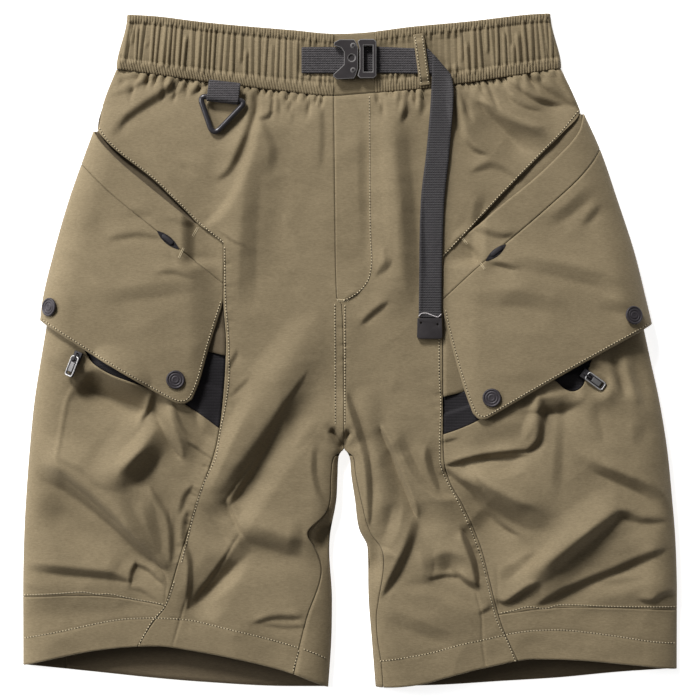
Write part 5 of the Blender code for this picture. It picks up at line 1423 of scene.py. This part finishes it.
rightRuns = [
    (shifted(outline["right"]["pocket"], -1.2), onFront(right), wallTop),
    (squares((439.5, 262), (439, 300), (439, 340), (439, 380), (441, 400), (439.5, 433),
             (439.5, 463), (444.5, 476), (452.5, 491), (460.5, 506), (469.5, 526), (477.5, 546),
             (482.5, 561), (486.5, 579), (491.5, 601), (496.5, 621), (505.5, 636), (515.5, 661)),
     onFront(right), wallTop),
    (squares((379, 661), (400, 658), (430, 653), (460, 644), (480, 640), (510, 633), (530, 630),
             (560, 629), (590, 632), (620, 636), (650, 641), (676, 643)), onFront(right), wallTop),
    (squares((500, 612.5), (515, 609.5), (528, 605.5), (545, 608.5), (560, 603.5), (600, 605.5),
             (676, 606.5)), onFront(right), wallTop),
    (squares((369.5, 95), (370, 230), (372, 262), (369, 279), (361, 290), (350, 297.5),
             (343, 300.5)), onFront(right), wallTop),
    (squares((345, 304), (345, 424)), onFront(right), wallTop),
]


def flapRuns(half):
    edge = list(half.lines["flapFoot"]) + list(half.lines["flapSide"][::-1][1:-1])
    return [(shifted(edge, -1.7 * half.sign), onSaddle(half), flapTop, None, None, 0.40)]


threadLeft = stitchObject("seam_thread_left", leftRuns, threadFinish)
threadRight = stitchObject("seam_thread_right", rightRuns, threadFinish)
flapThreadLeft = stitchObject("flap_thread_left", flapRuns(left), threadFinish)
flapThreadRight = stitchObject("flap_thread_right", flapRuns(right), threadFinish)
holesLeft = needleHoles("needle_holes_left", leftRuns + flapRuns(left))
holesRight = needleHoles("needle_holes_right", rightRuns + flapRuns(right))


def tackRun(start, end, height, lift):
    # a bar tack: close stitches across a short line
    a, b = np.array(start), np.array(end)
    way = unit(b - a)
    side = np.array([-way[1], way[0]]) * 0.55
    return [((a + side, (a + b) / 2 + side, b + side), height, lift, 0.5, 0.55, 0.3),
            ((a - side, (a + b) / 2 - side, b - side), height, lift, 0.5, 0.55, 0.3)]


tacks = []
tacks += tackRun(spot(198, 227), spot(193, 236), onSaddle(left), flapTop)
tacks += tackRun(spot(184.5, 248), spot(180, 258), onSaddle(left), flapTop)
tacks += tackRun(spot(461, 236), spot(467, 244), onSaddle(right), flapTop)
tacks += tackRun(spot(477.5, 260), spot(484, 269), onSaddle(right), flapTop)
tacks += tackRun(spot(337, 300), spot(349, 300), onFront(right), wallTop)
barTacks = stitchObject("bar_tacks", tacks, threadFinish)


def loopTop(x, y):
    way = np.array(loop["foot"]) - loop["top"]
    share = ((x - loop["top"][0]) * way[0] + (y - loop["top"][1]) * way[1]) / (way @ way)
    return loopHeight(share) + 0.65


def loopRuns():
    top, foot = np.array(loop["top"]), np.array(loop["foot"])
    way = unit(foot - top)
    aside = np.array([-way[1], way[0]]) * (loop["width"] / 2 - 1.1)
    return [((top + way + s * aside, (top + foot) / 2 + s * aside, foot - way + s * aside),
             loopTop, 0.1)
            for s in (-1, 1)]


loopThread = stitchObject("belt_loop_thread", loopRuns(), threadFinish)
loopHoles = needleHoles("belt_loop_needle_holes", loopRuns())
print("stitches made")


def ownAxes(points):
    # the middle of some points and their long, middle and thin directions, the thin one upwards
    middle = points.mean(0)
    axes = np.linalg.svd(points - middle, full_matrices=False)[2]
    return middle, axes * np.sign(axes[2, 2])


def softened(name, width, finish, edge):
    # the node's own form with its hard edges rounded; the rounded edges take the edge finish, on
    # the buckle a painted highlight
    form = bmesh.new()
    form.from_mesh(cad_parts[name].data)
    bmesh.ops.remove_doubles(form, verts=form.verts, dist=1e-6)
    bmesh.ops.dissolve_limit(form, angle_limit=0.03, verts=form.verts, edges=form.edges)
    sharp = [e for e in form.edges if len(e.link_faces) == 2 and e.calc_face_angle(0) > 0.6]
    bmesh.ops.bevel(form, geom=sharp, offset=width * mm, segments=3, profile=0.5, affect="EDGES",
                    clamp_overlap=True, material=1)
    if edge == plasticEdgeHighlight:  # a painted highlight line just inside the upper edges
        upper = [face for face in form.faces if face.normal.z > 0.98]
        for face in bmesh.ops.inset_region(form, faces=upper, thickness=0.3 * mm)["faces"]:
            face.material_index = 1
    mesh = bpy.data.meshes.new(f"{name}_rounded")
    form.to_mesh(mesh)
    form.free()
    mesh.materials.append(finish)
    mesh.materials.append(edge)
    mesh.shade_smooth()
    mesh.set_sharp_from_angle(angle=0.7)
    return placed(f"{name}_rounded", mesh)


def wireAlong(name, path, up, radius, sides, finish):
    # a closed loop of round wire
    ahead = unit(np.roll(path, -1, 0) - np.roll(path, 1, 0))
    aside = unit(np.cross(up, ahead))
    turn = np.linspace(0, 2 * math.pi, sides, endpoint=False)
    rings = path[:, None] + radius * (np.cos(turn)[:, None] * aside[:, None]
                                      + np.sin(turn)[:, None] * np.asarray(up))
    count = len(path)
    ids = np.arange(count * sides).reshape(count, sides)
    faces = np.stack([ids, np.roll(ids, -1, 1), np.roll(np.roll(ids, -1, 1), -1, 0),
                      np.roll(ids, -1, 0)], -1).reshape(-1, 4)
    return objectFrom(name, rings.reshape(-1, 3), faces.tolist(), finish)


def roundedLoop(corners, reaches, steps=12):
    # a closed loop with each corner replaced by a curve that starts the given reach from it
    path = []
    for k, corner in enumerate(corners):
        before = unit(corners[k - 1] - corner) * reaches[k]
        after = unit(corners[(k + 1) % len(corners)] - corner) * reaches[k]
        for t in np.linspace(0, 1, steps):
            path.append(corner + (1 - t) ** 2 * before + t**2 * after)
        start, end = path[-1], corners[(k + 1) % len(corners)]
        end = end - unit(end - corner) * reaches[(k + 1) % len(corners)]
        path += [start + (end - start) * t for t in np.linspace(0, 1, 9)[1:-1]]
    return np.array(path)


wireRing = {"corners": ((-120.4, 203.2), (-82.8, 198.8), (-109.3, 171.0)),
            "reaches": (6.5, 6.5, 8.5), "radius": 2.25}


def makeRing():
    middle, axes = ownAxes(nodePoints("ring"))
    up = axes[2]
    first, second, point = (np.array(p) for p in wireRing["corners"])
    bar = (first + second) / 2
    along = unit(second - first)
    across = np.array([-along[1], along[0]])
    origin = np.array([*bar, middle[2] - (up[:2] @ (bar - middle[:2])) / up[2]])
    along3 = np.array([*along, 0.0])
    across3 = np.cross(up, along3)
    corners = [origin + ((p - bar) @ along) * along3 + ((p - bar) @ across) * across3
               for p in (first, second, point)]
    return wireAlong("ring_wire", roundedLoop(corners, wireRing["reaches"]), up,
                     wireRing["radius"], 20, blackMetal)


# Stud caps, turned: radius and height, with rings pressed into the crown
studProfile = ((6.8, 0.0), (7.3, 0.3), (7.45, 0.9), (7.25, 1.5), (6.8, 1.85), (6.3, 1.9),
               (5.9, 1.7), (5.65, 1.4), (5.3, 1.35), (5.05, 1.6), (4.6, 1.8), (4.1, 1.8),
               (3.8, 1.6), (3.55, 1.4), (3.2, 1.4), (2.95, 1.65), (2.5, 1.85), (1.9, 1.85),
               (1.5, 1.65), (1.2, 1.6), (0.6, 1.65))


def makeStud(name):
    points = nodePoints(name)
    middle, axes = ownAxes(points)
    up = axes[2]
    base = middle + up * ((points - middle) @ up).min()
    turn = np.linspace(0, 2 * math.pi, 40, endpoint=False)
    around = np.cos(turn)[:, None] * axes[0] + np.sin(turn)[:, None] * axes[1]
    rings = np.array([base + r * around + h * up for r, h in studProfile])
    count = len(rings)
    ids = np.arange(count * 40).reshape(count, 40)
    faces = np.stack([ids[:-1], np.roll(ids, -1, 1)[:-1], np.roll(ids, -1, 1)[1:], ids[1:]], -1)
    if np.dot(np.cross(axes[0], axes[1]), up) < 0:
        faces = faces[..., ::-1]
        caps = [ids[0].tolist(), ids[-1][::-1].tolist()]
    else:
        caps = [ids[0][::-1].tolist(), ids[-1].tolist()]
    return objectFrom(f"{name}_cap", rings.reshape(-1, 3), faces.reshape(-1, 4).tolist() + caps,
                      studMetal)


def makePullRim(side):
    # the raised rim and middle plate of a zip pull
    points = nodePoints(f"zip_pull_{side}")
    middle, axes = ownAxes(points)
    slider = nodePoints(f"zip_slider_{side}").mean(0)
    along = axes[0] * np.sign((middle - slider) @ axes[0])
    across, up = np.cross(axes[2], along), axes[2]
    reach, top = np.abs((points - middle) @ along).max(), np.abs((points - middle) @ up).max()
    seat = middle + up * (top - 0.1)

    def loop(name, low, high, half, corner, radius):
        flat = [(low, -half), (high, -half), (high, half), (low, half)]
        corners = [seat + a * along + b * across for a, b in flat]
        return wireAlong(name, roundedLoop(corners, [corner] * 4, 6), up, radius, 10, brightMetal)

    rim = loop(f"pull_rim_{side}", 0.6 - reach, reach - 0.6, 3.3, 1.8, 0.55)
    low, high = 5.6 - reach, reach - 3.9
    centre = (low + high) / 2
    grid = []
    for rise, share in ((0.0, 1.0), (0.45, 1.0), (0.65, 0.86)):
        half, long = 1.9 * share, (high - low) / 2 * share
        flat = [(centre - long, -half), (centre + long, -half), (centre + long, half),
                (centre - long, half)]
        grid.append([seat + a * along + b * across + rise * up for a, b in flat])
    corners = np.array(grid).reshape(-1, 3)
    faces = [(8, 9, 10, 11)]
    for ring in range(2):
        for k in range(4):
            n = (k + 1) % 4
            faces.append((4 * ring + k, 4 * ring + n, 4 * ring + 4 + n, 4 * ring + 4 + k))
    faces.append((3, 2, 1, 0))
    if np.dot(np.cross(along, across), up) < 0:
        faces = [face[::-1] for face in faces]
    plate = objectFrom(f"pull_plate_{side}", corners, faces, gunmetal)
    plate.data.shade_flat()
    return rim, plate


ringWire = makeRing()
studs = {name: makeStud(name) for name in ("snap_left_inner", "snap_left_outer", "snap_right_inner",
                                           "snap_right_outer")}
hardParts = {"buckle_hook": (0.45, plastic), "buckle_frame": (0.45, plastic),
             "belt_tip": (0.3, plastic),
             "zip_slider_left": (0.3, sliderMetal), "zip_slider_right": (0.3, sliderMetal),
             "hidden_slider_left": (0.5, sliderMetal), "hidden_slider_right": (0.5, sliderMetal),
             "zip_pull_left": (0.25, sliderMetal), "zip_pull_right": (0.25, sliderMetal)}
# the buckle pieces get a lighter painted highlight on their rounded edges
roundedParts = {name: softened(name, width, finish, plasticEdgeHighlight if "buckle" in name else finish)
                for name, (width, finish) in hardParts.items()}
pullRims = {side: makePullRim(side) for side in ("left", "right")}


def makeZipMouth(name, half, start, end, width):
    # a thin black sheet laid on the flap over the leaf-shaped opening that a hidden slider sits in;
    # its black is the zip tape inside and painted shade of the opening
    t = np.linspace(0, 1, 30)
    line = np.array(start) + t[:, None] * (np.array(end) - start)
    way = unit(np.array(end, float) - start)
    side = np.array([-way[1], way[0]])
    grid = []
    for s in np.linspace(-1, 1, 7):
        row = line + (s * width * np.sin(math.pi * t) ** 0.8)[:, None] * side
        z = saddleHeight(half, row[:, 0], row[:, 1]) + flapTop + 0.12
        grid.append(np.column_stack([row, z]))
    return shell(name, np.array(grid), 0.25, tapeFinish)


mouthLeft = makeZipMouth("hidden_zip_mouth_left", left, spot(158, 231), spot(180, 249.5), 2.9)
mouthRight = makeZipMouth("hidden_zip_mouth_right", right, spot(505, 244.5), spot(485, 261), 2.9)


def strapTop(x, y):
    return strapSeat(x, y) + belt["wall"] / 2


tipPath = squares((418.5, 316), (421, 313), (426, 312.5), (432, 315), (438, 317), (441, 313.5))
tipThread = stitchObject("strap_end_thread", [(tipPath, strapTop, 0.1, 1.3, 1.5, 0.42)], paleThread)
print("hard pieces made")

# Each piece of cloth laid flat: width and length in metres, estimated from the outline, the area
# that its own shell measures, and how it is held
cuts = {
    "front": {"left": (0.245, 0.500, 0.0575), "right": (0.235, 0.500, 0.0521), "held": "laid"},
    "back": {"left": (0.300, 0.530, 0.0982), "right": (0.300, 0.530, 0.0975), "held": "laid"},
    "facing": {"left": (0.175, 0.210, 0.0225), "right": (0.190, 0.225, 0.0279), "held": "laid"},
    "tape": {"left": (0.032, 0.190, 0.0048), "right": (0.030, 0.185, 0.0036), "held": "laid"},
    "cargo": {"left": (0.190, 0.260, 0.0359), "right": (0.215, 0.270, 0.0417), "held": "laid"},
    "hem": {"left": (0.155, 0.062, 0.0067), "right": (0.170, 0.062, 0.0076), "held": "laid"},
    "welt": {"left": (0.050, 0.135, 0.0040), "right": (0.050, 0.160, 0.0049), "held": "folded"},
    "flap": {"left": (0.155, 0.180, 0.0189), "right": (0.170, 0.190, 0.0224), "held": "laid"},
}
for part, sizes in cuts.items():
    for side in ("left", "right"):
        width, length, area = sizes[side]

replaced = {"front": "front", "back": "back", "facing": "pocket_facing", "tape": "zip_tape",
            "cargo": "cargo_pocket", "hem": "side_hem", "welt": "pocket_welt",
            "flap": "pocket_flap"}
for side, made in pieces.items():
    for part, piece in made.items():
        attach(piece, "garment")
        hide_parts(f"{replaced[part]}_{side}")
        "black_webbing" if part == "tape" else "khaki_cloth"
for piece, node, slot in ((waistbandCloth, "waistband", "khaki_cloth"),
                          (plainTab, "waistband_tab", "khaki_cloth"),
                          (beltTab, "belt_tab", "black_webbing"),
                          (beltRun, "belt_webbing", "black_webbing"),
                          (strapCloth, "belt_strap", "black_webbing"),
                          (beltLoop, "belt_loop", "khaki_cloth"),
                          (ringLoop, "ring_loop", "black_webbing")):
    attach(piece, "garment")
    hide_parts(node)
ridden = [(ringWire, "ring", ("ring",), "gunmetal")]
ridden += [(piece, "garment", (name,), "gunmetal") for name, piece in studs.items()]
for name, piece in roundedParts.items():
    body = name.replace("zip_", "") if name.startswith("zip_pull") else "garment"
    slot = "black_plastic" if hardParts[name][1] == plastic else "gunmetal"
    ridden.append((piece, body, (name,), slot))
for side, rims in pullRims.items():
    ridden += [(piece, f"pull_{side}", (), "gunmetal") for piece in rims]
ridden += [(mouthLeft, "garment", (), "black_webbing"),
           (mouthRight, "garment", (), "black_webbing")]
ridden += [(piece, "garment", (), "khaki_cloth") for piece in (tipThread, loopThread, loopHoles)]
for piece, body, nodes, slot in ridden:
    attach(piece, body)
    if nodes:
        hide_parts(*nodes)
for piece in (threadLeft, threadRight, flapThreadLeft, flapThreadRight, barTacks, holesLeft,
              holesRight):
    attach(piece, "garment")

# The floor, lights and camera, in metres and watts
studio = {"key": 1165.0, "keySize": 2.0, "keyFrom": (-3.76, 7.20, 5.04), "fill": 26.0,
          "fillSize": 0.9, "fillFrom": (-1.7, 0.5, 0.9), "sky": 0.15, "table": 0.8,
          "height": 2.0}


def makeFloor():
    material = bpy.data.materials.new("pale_floor")
    material.use_nodes = True
    shader = material.node_tree.nodes["Principled BSDF"]
    shader.inputs["Base Color"].default_value = (0.93, 0.93, 0.93, 1)
    shader.inputs["Roughness"].default_value = 0.9
    shader.inputs["Emission Color"].default_value = (1, 1, 1, 1)
    shader.inputs["Emission Strength"].default_value = studio["table"]
    mesh = bpy.data.meshes.new("floor")
    mesh.from_pydata([(-3, -3, -0.0004), (3, -3, -0.0004), (3, 3, -0.0004), (-3, 3, -0.0004)], [],
                     [(0, 1, 2, 3)])
    mesh.materials.append(material)
    floor = placed("floor", mesh)


def makeLight(name, place, size, power):
    data = bpy.data.lights.new(name, "AREA")
    data.size = size
    data.energy = power
    light = placed(name, data)
    light.location = place
    light.rotation_euler = (-Vector(place)).to_track_quat("-Z", "Y").to_euler()


makeFloor()
makeLight("key", studio["keyFrom"], studio["keySize"], studio["key"])
makeLight("fill", studio["fillFrom"], studio["fillSize"], studio["fill"])
world = bpy.data.worlds.new("studio")
bpy.context.scene.world = world
world.use_nodes = True
world.node_tree.nodes["Background"].inputs["Color"].default_value = (1, 1, 1, 1)
world.node_tree.nodes["Background"].inputs["Strength"].default_value = studio["sky"]
bpy.context.scene.view_settings.view_transform = "Standard"

cameraData = bpy.data.cameras.new("camera")
cameraData.sensor_width = 36.0
cameraData.lens = 36.0 * (studio["height"] - 0.012) / (sheetSize * square * mm)
camera = placed("camera", cameraData)
camera.location = (0, 0, studio["height"])
bpy.context.scene.camera = camera
